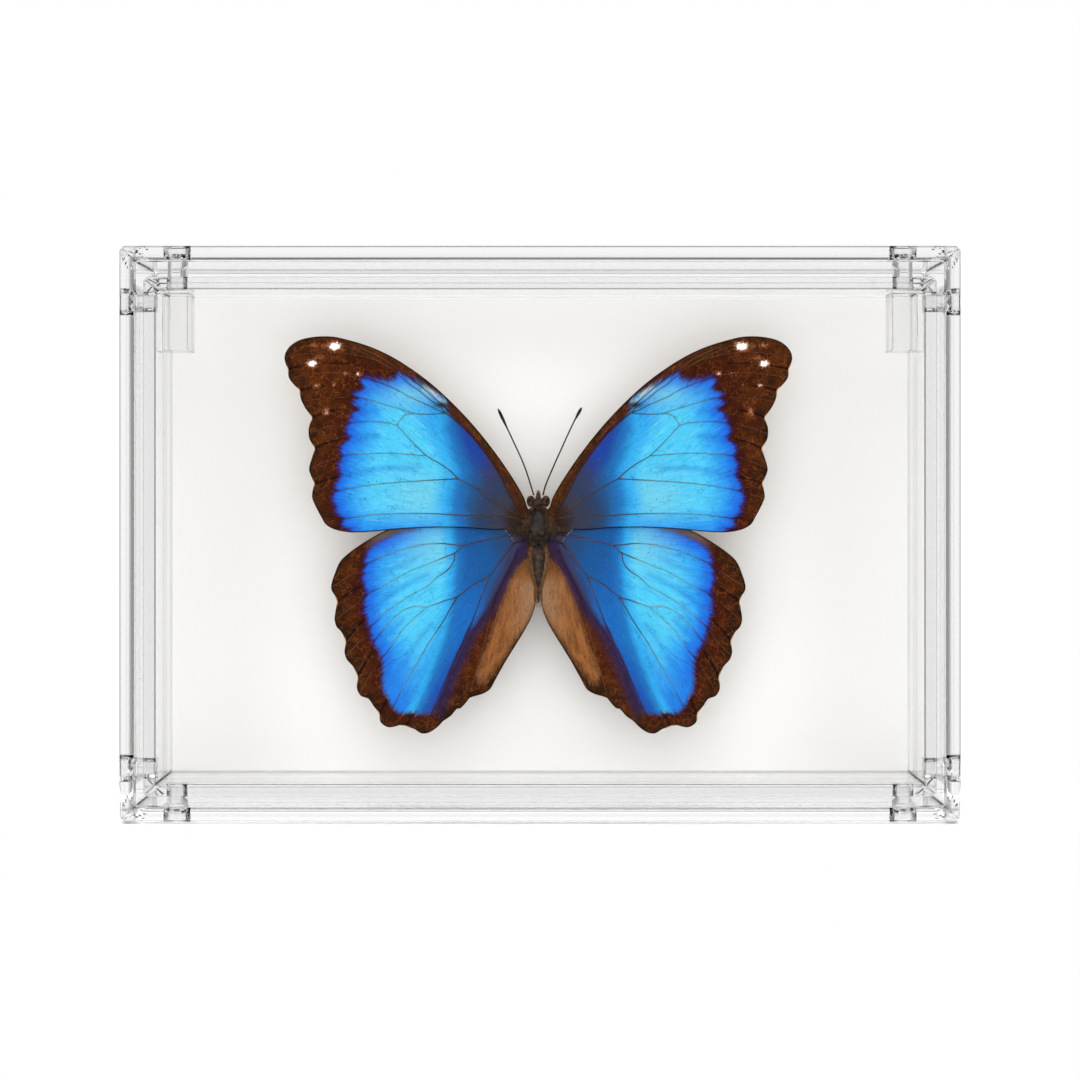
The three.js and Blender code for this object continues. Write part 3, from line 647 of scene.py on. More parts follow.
def wing_scales():
    """The upper side: blue ground, brown margin, tan inner panel, white spots and pale fringe."""
    material, graph, shader = new_material("wing scales")
    coarse = use_group(graph, streaks, {"Fineness": 26.0})["Value"]
    stroke = use_group(graph, streaks, {"Fineness": 17.0})["Value"]
    fine = use_group(graph, streaks, {"Fineness": 90.0})["Value"]
    lines = use_group(graph, wrinkles, {"Scale": 0.42, "Width": 0.024, "Bare": 0.40})["Value"]
    small_lines = use_group(graph, wrinkles, {"Scale": 0.62, "Width": 0.036, "Bare": 0.38})["Value"]
    where = graph.place((1, 1, 1))
    mottle = graph.noise(where, 0.35, 3.0)
    speckle = graph.noise(where, 3.0, 4.0, 0.65)
    star = graph.noise(where, 1.7, 3.0, 0.6)

    depth = graph.math("ADD", graph.mark("blue_mm"), centred(graph, fine, 2.0))
    depth = graph.math("ADD", depth, centred(graph, speckle, 0.9))
    bright_side = graph.math("ADD", graph.mark("bright_mm"), centred(graph, coarse, 2.4))
    blue = blue_ground(graph, depth, bright_side, coarse, stroke)
    blue = graph.blend(graph.math("MULTIPLY", lines, 0.6), blue, srgb(18, 70, 130))
    brown = brown_ground(graph, depth, fine, speckle, mottle, small_lines, where)
    in_blue = graph.step(depth, -0.8, 0.8)
    ground = graph.blend(in_blue, brown, blue)
    tan_edge = graph.math("ADD", graph.mark("tan_mm"), centred(graph, fine, 1.6))
    ground = graph.blend(graph.step(tan_edge, -0.6, 1.3), ground, tan_ground(graph, coarse, fine))

    # Shade beside veins, fine grain, smudge, spots, dark outline and pale notches
    ground = graph.blend(graph.step(graph.mark("vein_mm"), 0.06, 0.32, 0.3, 0.0), ground, srgb(24, 22, 26))
    grain = graph.step(fine, 0.2, 0.85, 0.86, 1.14)
    ground = graph.add("ShaderNodeVectorMath", operation="SCALE",
                       inputs={0: ground, "Scale": grain}).outputs[0]
    ground = graph.blend(graph.mark("smudge"), ground, srgb(34, 18, 10))
    spotted = graph.math("ADD", graph.mark("spot"), centred(graph, star, 1.4))
    ground = graph.blend(graph.step(spotted, 0.14, 0.6, 0.0, 0.75), ground, srgb(156, 96, 62))
    ground = graph.blend(graph.step(spotted, 0.6, 0.84), ground, srgb(250, 244, 238))
    outline = graph.step(graph.mark("edge_mm"), 0.38, 0.16)
    ground = graph.blend(graph.math("MULTIPLY", outline, 0.9), ground, srgb(20, 10, 5))
    notch = graph.math("MULTIPLY", graph.step(graph.mark("edge_mm"), 0.3, 0.12), graph.mark("notch"))
    ground = graph.blend(notch, ground, srgb(246, 196, 140))

    graph.feed(shader.inputs["Base Color"], ground)
    graph.feed(shader.inputs["Metallic"], graph.math("MULTIPLY", in_blue, 0.15))
    graph.feed(shader.inputs["Roughness"], graph.step(speckle, 0.3, 0.7, 0.44, 0.6))
    sheen = graph.step(graph.mark("blue_mm"), -0.8, 0.8, 0.03, 0.12)
    graph.feed(shader.inputs["Specular IOR Level"], sheen)
    height = graph.math("ADD", graph.math("MULTIPLY", fine, 0.6), graph.math("MULTIPLY", lines, -0.8))
    graph.feed(shader.inputs["Normal"], graph.bump(height, 0.35, 0.08))
    return material


def wing_underside():
    """The hidden side: brown bands and pale waves."""
    material, graph, shader = new_material("wing underside")
    where = graph.place((1, 1, 1))
    waves = graph.noise(where, 0.12, 4.0, 0.6, 2.0)
    colour = graph.blend(graph.step(waves, 0.35, 0.65), srgb(70, 42, 24), srgb(140, 104, 70))
    colour = graph.blend(graph.step(graph.mark("vein_mm"), 0.5, 0.1), colour, srgb(178, 140, 96))
    graph.feed(shader.inputs["Base Color"], colour)
    shader.inputs["Roughness"].default_value = 0.6
    graph.feed(shader.inputs["Normal"], graph.bump(waves, 0.2, 0.1))
    return material


def vein_skin():
    """Veins: warm brown near the root, pale over bright blue, reddish and then tan in the margin."""
    material, graph, shader = new_material("wing veins")
    grit = graph.noise(graph.place((1, 1, 1)), 2.0, 3.0)
    depth = graph.mark("blue_mm")
    colour = graph.blend(graph.step(graph.mark("reach"), 6.0, 24.0), srgb(96, 66, 42), srgb(80, 72, 66))
    outward = graph.step(graph.mark("bright_mm"), 3.0, 11.0)
    pale = graph.math("MULTIPLY", graph.step(depth, 2.0, 5.0), outward)
    pale = graph.math("MULTIPLY", pale, graph.mark("pale_veins"))
    colour = graph.blend(pale, colour, srgb(128, 176, 188))
    colour = graph.blend(graph.step(depth, 2.2, 0.2), colour, srgb(60, 22, 16))
    colour = graph.blend(graph.step(depth, -1.6, -3.4, 0.0, 0.75), colour, srgb(122, 72, 40))
    colour = graph.blend(graph.step(grit, 0.4, 0.75, 0.0, 0.6), colour, srgb(46, 30, 20))
    graph.feed(shader.inputs["Base Color"], colour)
    graph.feed(shader.inputs["Normal"], graph.bump(grit, 0.4, 0.05))
    shader.inputs["Roughness"].default_value = 0.55
    shader.inputs["Specular IOR Level"].default_value = 0.1
    return material


def dark_chitin(name, dark, light, roughness):
    """Hard skin with soft blotches, dark between the abdomen's segments."""
    material, graph, shader = new_material(name)
    where = graph.place((1, 1, 1))
    blotch = graph.noise(where, 1.2, 4.0, 0.6)
    colour = graph.blend(graph.step(blotch, 0.35, 0.7), dark, light)
    colour = graph.blend(graph.step(graph.mark("tone"), 0.5, 0.9, 0.0, 0.6), colour, dark)
    graph.feed(shader.inputs["Base Color"], colour)
    graph.feed(shader.inputs["Roughness"], graph.step(blotch, 0.3, 0.7, roughness, roughness + 0.2))
    graph.feed(shader.inputs["Normal"], graph.bump(graph.noise(where, 6.0, 3.0), 0.3, 0.05))
    return material


def hair_skin(name, dark, light):
    """Hair that varies from strand to strand."""
    material, graph, shader = new_material(name)
    tone = graph.mark("tone")
    colour = graph.blend(graph.step(tone, 0.1, 0.95), dark, light)
    wave = graph.noise(graph.place((1, 1, 1)), 0.9, 2.0)
    colour = graph.blend(graph.step(wave, 0.4, 0.8), colour, dark)
    graph.feed(shader.inputs["Base Color"], colour)
    shader.inputs["Roughness"].default_value = 0.5
    shader.inputs["Specular IOR Level"].default_value = 0.35
    return material


def clear_acrylic(name, waviness, haze, dents):
    """Polished acrylic: fully clear, with a trace of unevenness in its faces."""
    material, graph, shader = new_material(name)
    wave = graph.noise(graph.place((1, 1, 1)), waviness, 2.0)
    shader.inputs["Base Color"].default_value = (1.0, 1.0, 1.0, 1.0)
    shader.inputs["Transmission Weight"].default_value = 1.0
    shader.inputs["IOR"].default_value = 1.49
    graph.feed(shader.inputs["Roughness"], graph.step(wave, 0.35, 0.75, 0.0, haze))
    if dents:
        graph.feed(shader.inputs["Normal"], graph.bump(wave, dents, 0.4))
    absorb = graph.add("ShaderNodeVolumeAbsorption", inputs={
        "Color": (0.80, 0.82, 0.81, 1.0), "Density": 7.0})
    output = graph.tree.nodes["Material Output"]
    graph.tree.links.new(absorb.outputs["Volume"], output.inputs["Volume"])
    return material


def board_paper():
    """Smooth white board with a faint fibre grain, and painted shade that makes it a little greyer near
    its sides and top.
    """
    material, graph, shader = new_material("white board paper")
    fibre = graph.noise(graph.place((1, 1, 1)), 1.6, 6.0, 0.65)
    cloud = graph.noise(graph.place((1, 1, 1)), 0.05, 2.0)
    colour = graph.blend(graph.step(fibre, 0.3, 0.7), srgb(241, 240, 237), srgb(247, 246, 244))
    colour = graph.blend(graph.step(cloud, 0.4, 0.75, 0.0, 0.35), colour, srgb(243, 241, 236))
    extent = graph.add("ShaderNodeTexCoord").outputs["Generated"]
    share = graph.add("ShaderNodeSeparateXYZ", inputs={0: extent}).outputs
    # Painted shade: the board's colour turns greyer towards its sides and top, as if less light fell
    # there.
    aside = graph.math("ABSOLUTE", graph.math("SUBTRACT", share["X"], 0.5))
    painted_edge_shade = graph.math("MAXIMUM", graph.step(aside, 0.26, 0.42), graph.step(share["Z"], 0.76, 0.94))
    colour = graph.blend(painted_edge_shade, colour, srgb(229, 228, 225))
    graph.feed(shader.inputs["Base Color"], colour)
    shader.inputs["Roughness"].default_value = 0.85
    shader.inputs["Specular IOR Level"].default_value = 0.2
    graph.feed(shader.inputs["Normal"], graph.bump(fibre, 0.12, 0.05))
    return material


def floor_paint():
    """Matt white floor with a hardly seen cloudiness."""
    material, graph, shader = new_material("pale floor")
    cloud = graph.noise(graph.place((1, 1, 1)), 0.01, 3.0)
    colour = graph.blend(cloud, srgb(250, 250, 250), srgb(252, 252, 251))
    graph.feed(shader.inputs["Base Color"], colour)
    shader.inputs["Roughness"].default_value = 0.9
    shader.inputs["Specular IOR Level"].default_value = 0.0
    return material


ACRYLIC = clear_acrylic("clear acrylic", 0.03, 0.003, 0.0)
SEAM = clear_acrylic("glued acrylic seam", 1.4, 0.25, 0.06)
BOARD = board_paper()
SCALES = wing_scales()
UNDERSIDE = wing_underside()
VEINS = vein_skin()
CHITIN = dark_chitin("dark chitin", srgb(30, 22, 16), srgb(92, 70, 50), 0.4)
# The middle plate's cool grey, against the brown of the other chitin, is a painted reflection of cool
# light; its lower roughness gives it real gloss.
PLATE = dark_chitin("middle plate", srgb(27, 26, 27), srgb(62, 54, 50), 0.3)
EYE = dark_chitin("eye", srgb(34, 19, 10), srgb(76, 46, 28), 0.22)
ANTENNA = dark_chitin("antenna chitin", srgb(14, 10, 8), srgb(40, 30, 22), 0.4)
FUR_DARK = hair_skin("dark body hair", srgb(26, 19, 13), srgb(112, 84, 58))
FUR_BROWN = hair_skin("brown wing base hair", srgb(58, 32, 15), srgb(148, 98, 58))
FUR_ROOT = hair_skin("wing root fibres", srgb(66, 48, 32), srgb(150, 120, 90))
FUR_PALE = hair_skin("pale hair", srgb(128, 102, 82), srgb(226, 206, 184))
FUR_TAN = hair_skin("tan panel hair", srgb(116, 72, 38), srgb(186, 140, 98))


# Wings

# A wing's finishes, in the order in which its mesh holds them
UPPER_SLOT, UNDER_SLOT, VEIN_SLOT, WING_HAIR_SLOT = range(4)
# How the triangles are made: only inside the outline, and how close two points may be, in mm
FILL_INSIDE = 1
FILL_REACH = 1e-5


def front_rim(node):
    """The outline of a packed wing's front face, in order, as points in metres."""
    shape = bmesh.new()
    shape.from_mesh(node.data)
    bmesh.ops.remove_doubles(shape, verts=shape.verts, dist=MERGE_REACH)
    shape.normal_update()
    following = {}
    for face in shape.faces:
        if face.normal.y > FACES_FRONT:
            continue
        for loop in face.loops:
            first, second = loop.edge.link_faces
            other = first if second is face else second
            if other.normal.y > FACES_FRONT:
                following[loop.vert.index] = loop.link_loop_next.vert.index
    shape.verts.ensure_lookup_table()
    start = next(iter(following))
    order = [start]
    while following[order[-1]] != start:
        order.append(following[order[-1]])
    rim = np.array([tuple(shape.verts[i].co) for i in order])
    shape.free()
    return rim


def plane_through(rim):
    """The wing's front plane as two numbers: y at the axis, and y gained outwards per metre."""
    out = np.abs(rim[:, 0] - THORAX[0])
    slope, start = np.polyfit(out, rim[:, 1], 1)
    return start, slope


def plan_lines(plan, key, steps):
    return [smooth_line(points, steps) for points in plan[key].values()]


def nearest(points, lines):
    return np.min([line_distance(points, line) for line in lines], axis=0)


def near_line(distance, width):
    """A mark that is 1 at a distance of nought and fades out over a width, on both sides."""
    return np.exp(-(distance / width) ** 2)


def patch_mark(points, centre, radii):
    """A soft oval mark around a centre."""
    offset = (points - np.array(centre)) / np.array(radii)
    return np.exp(-(offset ** 2).sum(1))


def lift_mm(points, plan):
    """How far the membrane stands in front of its flat plane: ridges at veins, valleys at folds."""
    vein = nearest(points, plan_lines(plan, "veins", MARK_STEPS))
    fold = nearest(points, plan_lines(plan, "folds", MARK_STEPS))
    ridge = VEIN_RIDGE_MM * near_line(vein, 0.9)
    valley = FOLD_VALLEY_MM * near_line(fold, 1.2)
    swell = SWELL_MM * np.sin(0.16 * points[:, 0] + 0.07 * points[:, 1])
    return ridge - valley + swell


def past_bright_line(points, plan):
    """How far outwards a point lies from the line where the bright blue starts."""
    bright = np.array(plan["bright"])
    order = np.argsort(bright[:, 1])
    line = np.interp(points[:, 1], bright[order, 1], bright[order, 0])
    return (points[:, 0] - line) * plan["bright_sharpness"]


def spot_mark(points, plan):
    spot = np.zeros(len(points))
    for centre, radii, weight in plan["spots"]:
        spot = np.maximum(spot, weight * patch_mark(points, centre, radii))
    return spot


def fleck_mark(edge, vein, fold):
    """Gold flecks in three rows along the margin: two between the veins and one at them."""
    return np.maximum.reduce([
        0.9 * near_line(edge - 3.8, 0.6) * near_line(fold, 0.6),
        0.6 * near_line(edge - 5.6, 0.5) * near_line(vein, 0.45),
        0.5 * near_line(edge - 1.6, 0.6) * near_line(fold, 0.9),
    ])


def hindwing_marks(points, plan):
    """The tan inner panel, the grey front edge and the deeper blue towards the tail end."""
    out, up = points.T
    tan = signed_depth(points, np.array(plan["tan"]))
    outer_side = soft_step(out, 4.0, 9.0)
    front_edge = soft_step(out, 21.0, 28.0) * soft_step(out, 43.0, 38.0)
    return {
        "tan_mm": tan,
        "tan_light": 0.8 * near_line(out, 5.0) * soft_step(up, -11.0, -15.0),
        "tan_dark": np.maximum(0.75 * soft_step(up, -15.0, -8.0),
                               0.45 * outer_side * soft_step(tan, 1.8, 0.2)),
        "costal_grey": 0.9 * soft_step(up, -9.0, -4.5) * front_edge,
        "deep": soft_step(up, -26.0, -43.0),
    }


def forewing_marks(points, plan):
    """The smudge and pale streak at the blue's upper edge, and light lines beside the front edge."""
    costal = line_distance(points, smooth_line(plan["veins"]["costal"], MARK_STEPS))
    return {
        "smudge": patch_mark(points, *plan["smudge"]),
        "pale": near_line(line_distance(points, np.array(plan["pale"])), 0.8),
        "light_brown": np.maximum(0.7 * near_line(costal, 0.22),
                                  0.5 * near_line(costal - 0.95, 0.16)),
    }


def wing_values(points, rim, plan):
    """What the shaders read at each point, most of them distances in millimetres."""
    from_root = points - np.array(plan["root"])
    navy = smooth_line(plan["veins"][plan["navy_line"]], MARK_STEPS)
    none = np.zeros(len(points))
    edge = loop_distance(points, rim)
    vein = nearest(points, plan_lines(plan, "veins", MARK_STEPS))
    fold = nearest(points, plan_lines(plan, "folds", MARK_STEPS))
    blue = signed_depth(points, np.array(plan["blue"]))
    notches = 0.45 * near_line(fold, 0.8) + 0.4 * near_line(vein, 0.5)
    notched = blue - near_line(blue, 3.0) * notches
    values = {
        "edge_mm": edge,
        "vein_mm": vein,
        "fold_mm": np.where(notched > 0, NO_FOLD_MM, fold + 0.12 * np.maximum(edge - 5.5, 0)),
        "blue_mm": notched,
        "bright_mm": past_bright_line(points, plan),
        "navy_mm": line_distance(points, navy),
        "inner_zone": none + (1.0 if plan["tan"] else 0.0),
        "reach": np.linalg.norm(from_root, axis=1),
        "sweep": np.arctan2(from_root[:, 1], from_root[:, 0]),
        "pale_veins": none + plan["pale_veins"],
        "spot": spot_mark(points, plan),
        "smudge": none,
        "pale": none,
        "deep": none,
        "tan_mm": none + NO_TAN_MM,
        "tan_light": none,
        "tan_dark": none,
        "light_brown": none,
        "costal_grey": none,
        "milky": np.max([patch_mark(points, *patch) for patch in plan["milky"]], axis=0),
        # crease carries the painted shade along the fold valleys inside the blue.
        "crease": near_line(fold, 0.8) * soft_step(blue, 0.0, 3.0),
        "notch": near_line(fold, 0.8) * soft_step(points[:, 0], 8.0, 20.0),
        "fleck": fleck_mark(edge, vein, fold),
    }
    values.update(hindwing_marks(points, plan) if plan["tan"] else forewing_marks(points, plan))
    return values


def hex_points(low, high, spacing):
    """Points in staggered rows over a rectangle."""
    rows = []
    row_gap = spacing * math.sqrt(3) / 2
    for n, y in enumerate(np.arange(low[1], high[1], row_gap)):
        xs = np.arange(low[0] + (n % 2) * spacing / 2, high[0], spacing)
        rows.append(np.column_stack([xs, np.full(len(xs), y)]))
    return np.vstack(rows)


def filled_outline(rim):
    """Even triangles over the whole area inside an outline."""
    grid = hex_points(rim.min(0), rim.max(0), GRID_MM)
    grid = grid[inside_loop(grid, rim)]
    grid = grid[loop_distance(grid, rim) > GRID_CLEARANCE * GRID_MM]
    points = [Vector(p) for p in np.vstack([rim, grid])]
    count = len(rim)
    edges = [(i, (i + 1) % count) for i in range(count)]
    verts, _, faces, _, _, _ = delaunay_2d_cdt(points, edges, [], FILL_INSIDE, FILL_REACH)
    return np.array([tuple(v) for v in verts]), [tuple(face) for face in faces]


def border_edges(faces):
    """The edges that only one face has."""
    seen = {}
    for face in faces:
        for a, b in zip(face, face[1:] + face[:1]):
            seen[frozenset((a, b))] = seen.get(frozenset((a, b)), 0) + 1
    return [tuple(edge) for edge, times in seen.items() if times == 1]


def panel_points(rim, plan):
    """Where the hairs of the tan inner panel stand."""
    panel = np.array(plan["tan"])
    points = rng.uniform(panel.min(0), panel.max(0), (PANEL_HAIR_TRIES, 2))
    return points[inside_loop(points, panel) & inside_loop(points, rim)]


def fringe_points(rim):
    """Where hairs stand along the hindwing's inner edge, beside the abdomen."""
    out, up = rim.T
    edge = rim[(out < FRINGE_OUT_MM) & (up > FRINGE_LOW_MM) & (up < FRINGE_HIGH_MM)]
    picks = edge[rng.integers(0, len(edge), FRINGE_HAIRS)]
    return picks + rng.uniform((0.0, -0.4), (0.5, 0.4), picks.shape)


def join_rims(sheet, faces, count):
    """Closes the gap around the front and back skins of a membrane."""
    rim_faces = [(a, b, b + count, a + count) for a, b in border_edges(faces)]
    sheet.faces.extend(rim_faces)
    sheet.materials.extend([UPPER_SLOT] * len(rim_faces))


def add_veins(sheet, plan, flat_rim, on_wing):
    """Raised veins, thinner with distance from the root; gives back their flat points."""
    flat = []
    for line in plan_lines(plan, "veins", VEIN_STEPS):
        inner = line[inside_loop(line, flat_rim)]
        reach = np.linalg.norm(inner - np.array(plan["root"]), axis=1)
        radius = np.interp(reach, [0, WING_REACH_MM], [VEIN_BASE_MM, VEIN_TIP_MM])
        path = on_wing(inner, lift_mm(inner, plan) + 0.2 * radius)
        verts, faces = tube(path, radius * MM, VEIN_SIDES)
        sheet.add(verts, faces, VEIN_SLOT)
        flat.append(np.repeat(inner, VEIN_SIDES, axis=0))
    return flat


def add_panel_hair(sheet, plan, flat_rim, on_wing, sign):
    """Hairs on the tan panel and its inner edge; gives back their flat points and tones."""
    panel = panel_points(flat_rim, plan)
    panel_ways = np.array([0.25 * sign, -0.05, -1.0]) + 0.12 * rng.normal(size=(len(panel), 3))
    panel_lengths = rng.uniform(*PANEL_HAIR_MM, len(panel)) * MM
    fringe = fringe_points(flat_rim)
    fringe_ways = np.array([-0.6 * sign, -0.35, -0.8]) + 0.15 * rng.normal(size=(len(fringe), 3))
    fringe_lengths = rng.uniform(*FRINGE_HAIR_MM, len(fringe)) * MM
    places = np.vstack([panel, fringe])
    ways = np.vstack([panel_ways, fringe_ways])
    lengths = np.concatenate([panel_lengths, fringe_lengths])
    roots = on_wing(places, lift_mm(places, plan))
    verts, faces = hairs(roots, ways, lengths, WING_HAIR_RADIUS_MM * MM, np.zeros(3))
    sheet.add(verts, faces, WING_HAIR_SLOT)
    tones = np.repeat(rng.uniform(0, 1, len(places)), HAIR_POINTS)
    return np.repeat(places, HAIR_POINTS, axis=0), tones


def build_wing(name, plan, sign):
    """One wing: a thin arched membrane with veins, and hair on a hindwing's tan panel."""
    rim = front_rim(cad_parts[name])
    start, slope = plane_through(rim)
    flat_rim = np.column_stack([sign * (rim[:, 0] - THORAX[0]), rim[:, 2] - THORAX[2]]) / MM
    flat_rim = smooth_line(flat_rim, RIM_STEPS, closed=True)

    def on_wing(points, raise_mm):
        x = THORAX[0] + sign * points[:, 0] * MM
        y = start + slope * points[:, 0] * MM - raise_mm * MM
        return np.column_stack([x, y, THORAX[2] + points[:, 1] * MM])

    points, faces = filled_outline(flat_rim)
    lift = lift_mm(points, plan)
    sheet = Sheet()
    sheet.add(on_wing(points, lift), faces, UPPER_SLOT)
    sheet.add(on_wing(points, lift - MEMBRANE_MM), faces, UNDER_SLOT)
    join_rims(sheet, faces, len(points))
    flat = [points, points] + add_veins(sheet, plan, flat_rim, on_wing)
    tones = np.zeros(sum(len(part) for part in flat))
    if plan["tan"]:
        hair_flat, hair_tones = add_panel_hair(sheet, plan, flat_rim, on_wing, sign)
        flat.append(hair_flat)
        tones = np.concatenate([tones, hair_tones])
    values = wing_values(np.vstack(flat), flat_rim, plan)
    values["tone"] = tones
    wing = sheet.make(name + "_scaled", [SCALES, UNDERSIDE, VEINS, FUR_TAN], values)
    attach(wing, "root")
    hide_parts(name)


# Body

# The body's finishes, in the order in which its mesh holds them
SKIN_SLOT, EYE_SLOT, DARK_SLOT, BROWN_SLOT, PALE_SLOT, PLATE_SLOT, FIBRE_SLOT = range(7)
BODY_FINISHES = [CHITIN, EYE, FUR_DARK, FUR_BROWN, FUR_PALE, PLATE, FUR_ROOT]

ABDOMEN_SEGMENTS = 9
ABDOMEN_ROOT_MM = (0.0, 0.2, -3.5)
ABDOMEN_LENGTH_MM = 15.5
ABDOMEN_RINGS = 81
ABDOMEN_SIDES = 32
# The abdomen's half-width in millimetres at shares of its length
ABDOMEN_SHARES = [0, 0.08, 0.18, 0.27, 0.41, 0.57, 0.66, 0.79, 0.91, 1]
ABDOMEN_WIDTHS_MM = [0.6, 1.65, 1.95, 1.92, 1.56, 1.18, 0.88, 0.58, 0.38, 0.08]

# Columns and rows of faces on the rounded forms
MIDDLE_GRID = (40, 28)
SIDE_GRID = (26, 18)
EYE_GRID = (32, 24)

EYE_CENTRE_MM = (1.85, -0.4, 5.85)
EYE_RADII_MM = (1.02, 1.15, 1.4)
# How far out hairs are rooted, as a share of the form's radius, so that no root floats
ROOT_DEPTH = 0.97


def ball(centre, radii, grid, wobble=0.0, seed=0.0):
    """A closed rounded form with a slightly uneven skin."""
    columns, rows = grid
    verts = []
    faces = []
    for i in range(1, rows):
        polar = math.pi * i / rows
        width = math.sin(polar)
        for j in range(columns):
            turn = 2 * math.pi * j / columns
            verts.append((width * math.cos(turn), width * math.sin(turn), math.cos(polar)))
    verts += [(0, 0, 1), (0, 0, -1)]
    verts = np.array(verts)
    top = len(verts) - 2
    bottom = len(verts) - 1
    for i in range(rows - 2):
        for j in range(columns):
            k = (j + 1) % columns
            faces.append((i * columns + j, (i + 1) * columns + j, (i + 1) * columns + k, i * columns + k))
    for j in range(columns):
        k = (j + 1) % columns
        faces.append((top, j, k))
        faces.append((bottom, (rows - 2) * columns + k, (rows - 2) * columns + j))
    x, y, z = verts.T
    swell = 1 + wobble * np.sin(5 * x + seed) * np.cos(4 * z + 2 * y + seed)
    return np.array(centre) + verts * np.array(radii) * swell[:, None], faces


def abdomen_rings():
    """The abdomen's half-width at even steps along it, with a swelling for each segment."""
    lengths = np.linspace(0, 1, ABDOMEN_RINGS)
    plain = np.interp(lengths, ABDOMEN_SHARES, ABDOMEN_WIDTHS_MM)
    ridge = np.abs(np.sin(lengths * ABDOMEN_SEGMENTS * math.pi))
    return lengths, plain * (0.95 + 0.07 * ridge), ridge


def abdomen_point(share):
    """Points on the abdomen's axis at shares of its length."""
    share = np.asarray(share)
    return np.array(ABDOMEN_ROOT_MM) - share[:, None] * np.array((0, 0, ABDOMEN_LENGTH_MM))


def from_thorax(points_mm):
    return THORAX + np.asarray(points_mm, float) * MM


# Rounded plates and lobes of the body, in millimetres from the thorax: centre, radii and wobble.
# The side forms are mirrored. MIDDLE_PLATE is the place of the shiny plate in the first list.
MIDDLE_PLATE = 1
MIDDLE_FORMS = [
    ((0, 0.1, -0.4), (2.35, 3.0, 4.3), 0.03),
    ((0, -1.35, 0.5), (1.5, 1.85, 3.1), 0.02),
    ((0, -1.75, -2.9), (1.1, 1.25, 0.95), 0.04),
    ((0, -0.2, 5.2), (1.25, 1.45, 1.6), 0.03),
    ((0, -1.2, 4.4), (0.9, 0.7, 0.8), 0.05),
]
SIDE_FORMS = [
    ((1.85, -1.1, 0.9), (0.75, 1.3, 2.2), 0.06),
    ((1.75, -1.0, -2.3), (0.85, 1.2, 1.5), 0.08),
    ((0.85, -1.05, -4.3), (1.15, 1.1, 0.95), 0.06),
    ((1.0, -0.9, 3.5), (1.05, 0.8, 0.5), 0.1),
    ((2.6, -0.9, 0.1), (0.6, 0.7, 0.9), 0.1),
    ((4.4, -1.6, -1.3), (2.3, 0.25, 1.1), 0.08),
]
FLAP_TUFTS_MM = [
    (8.2, -1.9, -0.9), (7.8, -1.9, -1.4), (7.4, -1.9, -1.9), (7.0, -1.9, -2.3),
    (6.3, -1.8, -3.2), (6.0, -1.8, -3.7), (4.9, -2.1, -1.0),
]

# Tufts of straight hair beside the middle line, mirrored: how many, where they are rooted with
# their spread, their way with its spread, lengths, radius, droop and finish
VEIN_ROOT_HAIR = (420, (2.5, -1.5, 0.8), (0.5, 0.25, 0.8), (1.0, -0.25, 0.1), (0.5, 0.15, 0.55),
                  (0.7, 1.7), 0.026, (0, 0.05, 0), BROWN_SLOT)
VEIN_ROOT_FIBRES = (90, (2.7, -2.2, 0.5), (0.4, 0.15, 1.0), (0.7, -0.2, 0.2), (0.5, 0.1, 0.7),
                    (0.6, 1.3), 0.028, (0, 0.1, 0), FIBRE_SLOT)
PALP = (170, (0.24, -0.5, 6.4), (0.16, 0.25, 0.3), (-0.14, -0.1, 1.0), (0.06, 0.06, 0.06),
        (1.1, 1.9), 0.045, (0, 0, 0.02), BROWN_SLOT)

PLATE_HAIRS = 160
MIDDLE_HAIRS = 700
SIDE_HAIRS = 420
ABDOMEN_HAIRS = 1400
FLAP_HAIRS = 1500
FLAP_TUFT_HAIRS = 9
SHOULDER_HAIRS = 260
# Rows of pale hair above and below the eye, as heights over the thorax
EYE_RIM_HEIGHTS_MM = (6.6, 5.5)
EYE_RIM_HAIRS = 20
EYE_RIM_HAIR_MM = 0.22


def body_core(add):
    """Plates, lobes, eyes and abdomen."""
    for number, (centre, radii, wobble) in enumerate(MIDDLE_FORMS):
        slot = PLATE_SLOT if number == MIDDLE_PLATE else SKIN_SLOT
        add(ball(centre, radii, MIDDLE_GRID, wobble), slot)
    for side in (-1, 1):
        mirror = np.array([side, 1, 1])
        for centre, radii, wobble in SIDE_FORMS:
            add(ball(centre * mirror, radii, SIDE_GRID, wobble, centre[2]), SKIN_SLOT)
        add(ball(EYE_CENTRE_MM * mirror, EYE_RADII_MM, EYE_GRID), EYE_SLOT)
    lengths, rings, ridge = abdomen_rings()
    abdomen = tube(abdomen_point(lengths), rings, ABDOMEN_SIDES)
    add(abdomen, SKIN_SLOT, np.repeat(1 - ridge, ABDOMEN_SIDES))


def coat(add_hair, centre, radii, count, length, radius, lean):
    """Dark nap on a rounded form, leaning along one direction."""
    out = unit(rng.normal(size=(count, 3)))
    roots = np.array(centre) + out * np.array(radii) * ROOT_DEPTH
    ways = 0.6 * unit(out / np.array(radii)) + np.array(lean) + 0.25 * rng.normal(size=out.shape)
    lengths = length * rng.uniform(0.5, 1.1, count)
    add_hair(roots, ways, lengths, radius, np.array(lean) * 0.2, DARK_SLOT)


def abdomen_nap(add_hair):
    """Short dark hair all around the abdomen, lying towards its tip."""
    lengths, rings, _ = abdomen_rings()
    share = rng.uniform(0.02, 0.98, ABDOMEN_HAIRS)
    turn = rng.uniform(0, 2 * math.pi, ABDOMEN_HAIRS)
    out = np.column_stack([np.cos(turn), np.sin(turn), 0 * turn])
    roots = abdomen_point(share) + out * np.interp(share, lengths, rings)[:, None] * ROOT_DEPTH
    ways = out * 0.5 + np.array([0, 0, -1.0]) + 0.2 * rng.normal(size=out.shape)
    add_hair(roots, ways, rng.uniform(0.3, 0.75, ABDOMEN_HAIRS), 0.024, (0, 0, -0.1), DARK_SLOT)


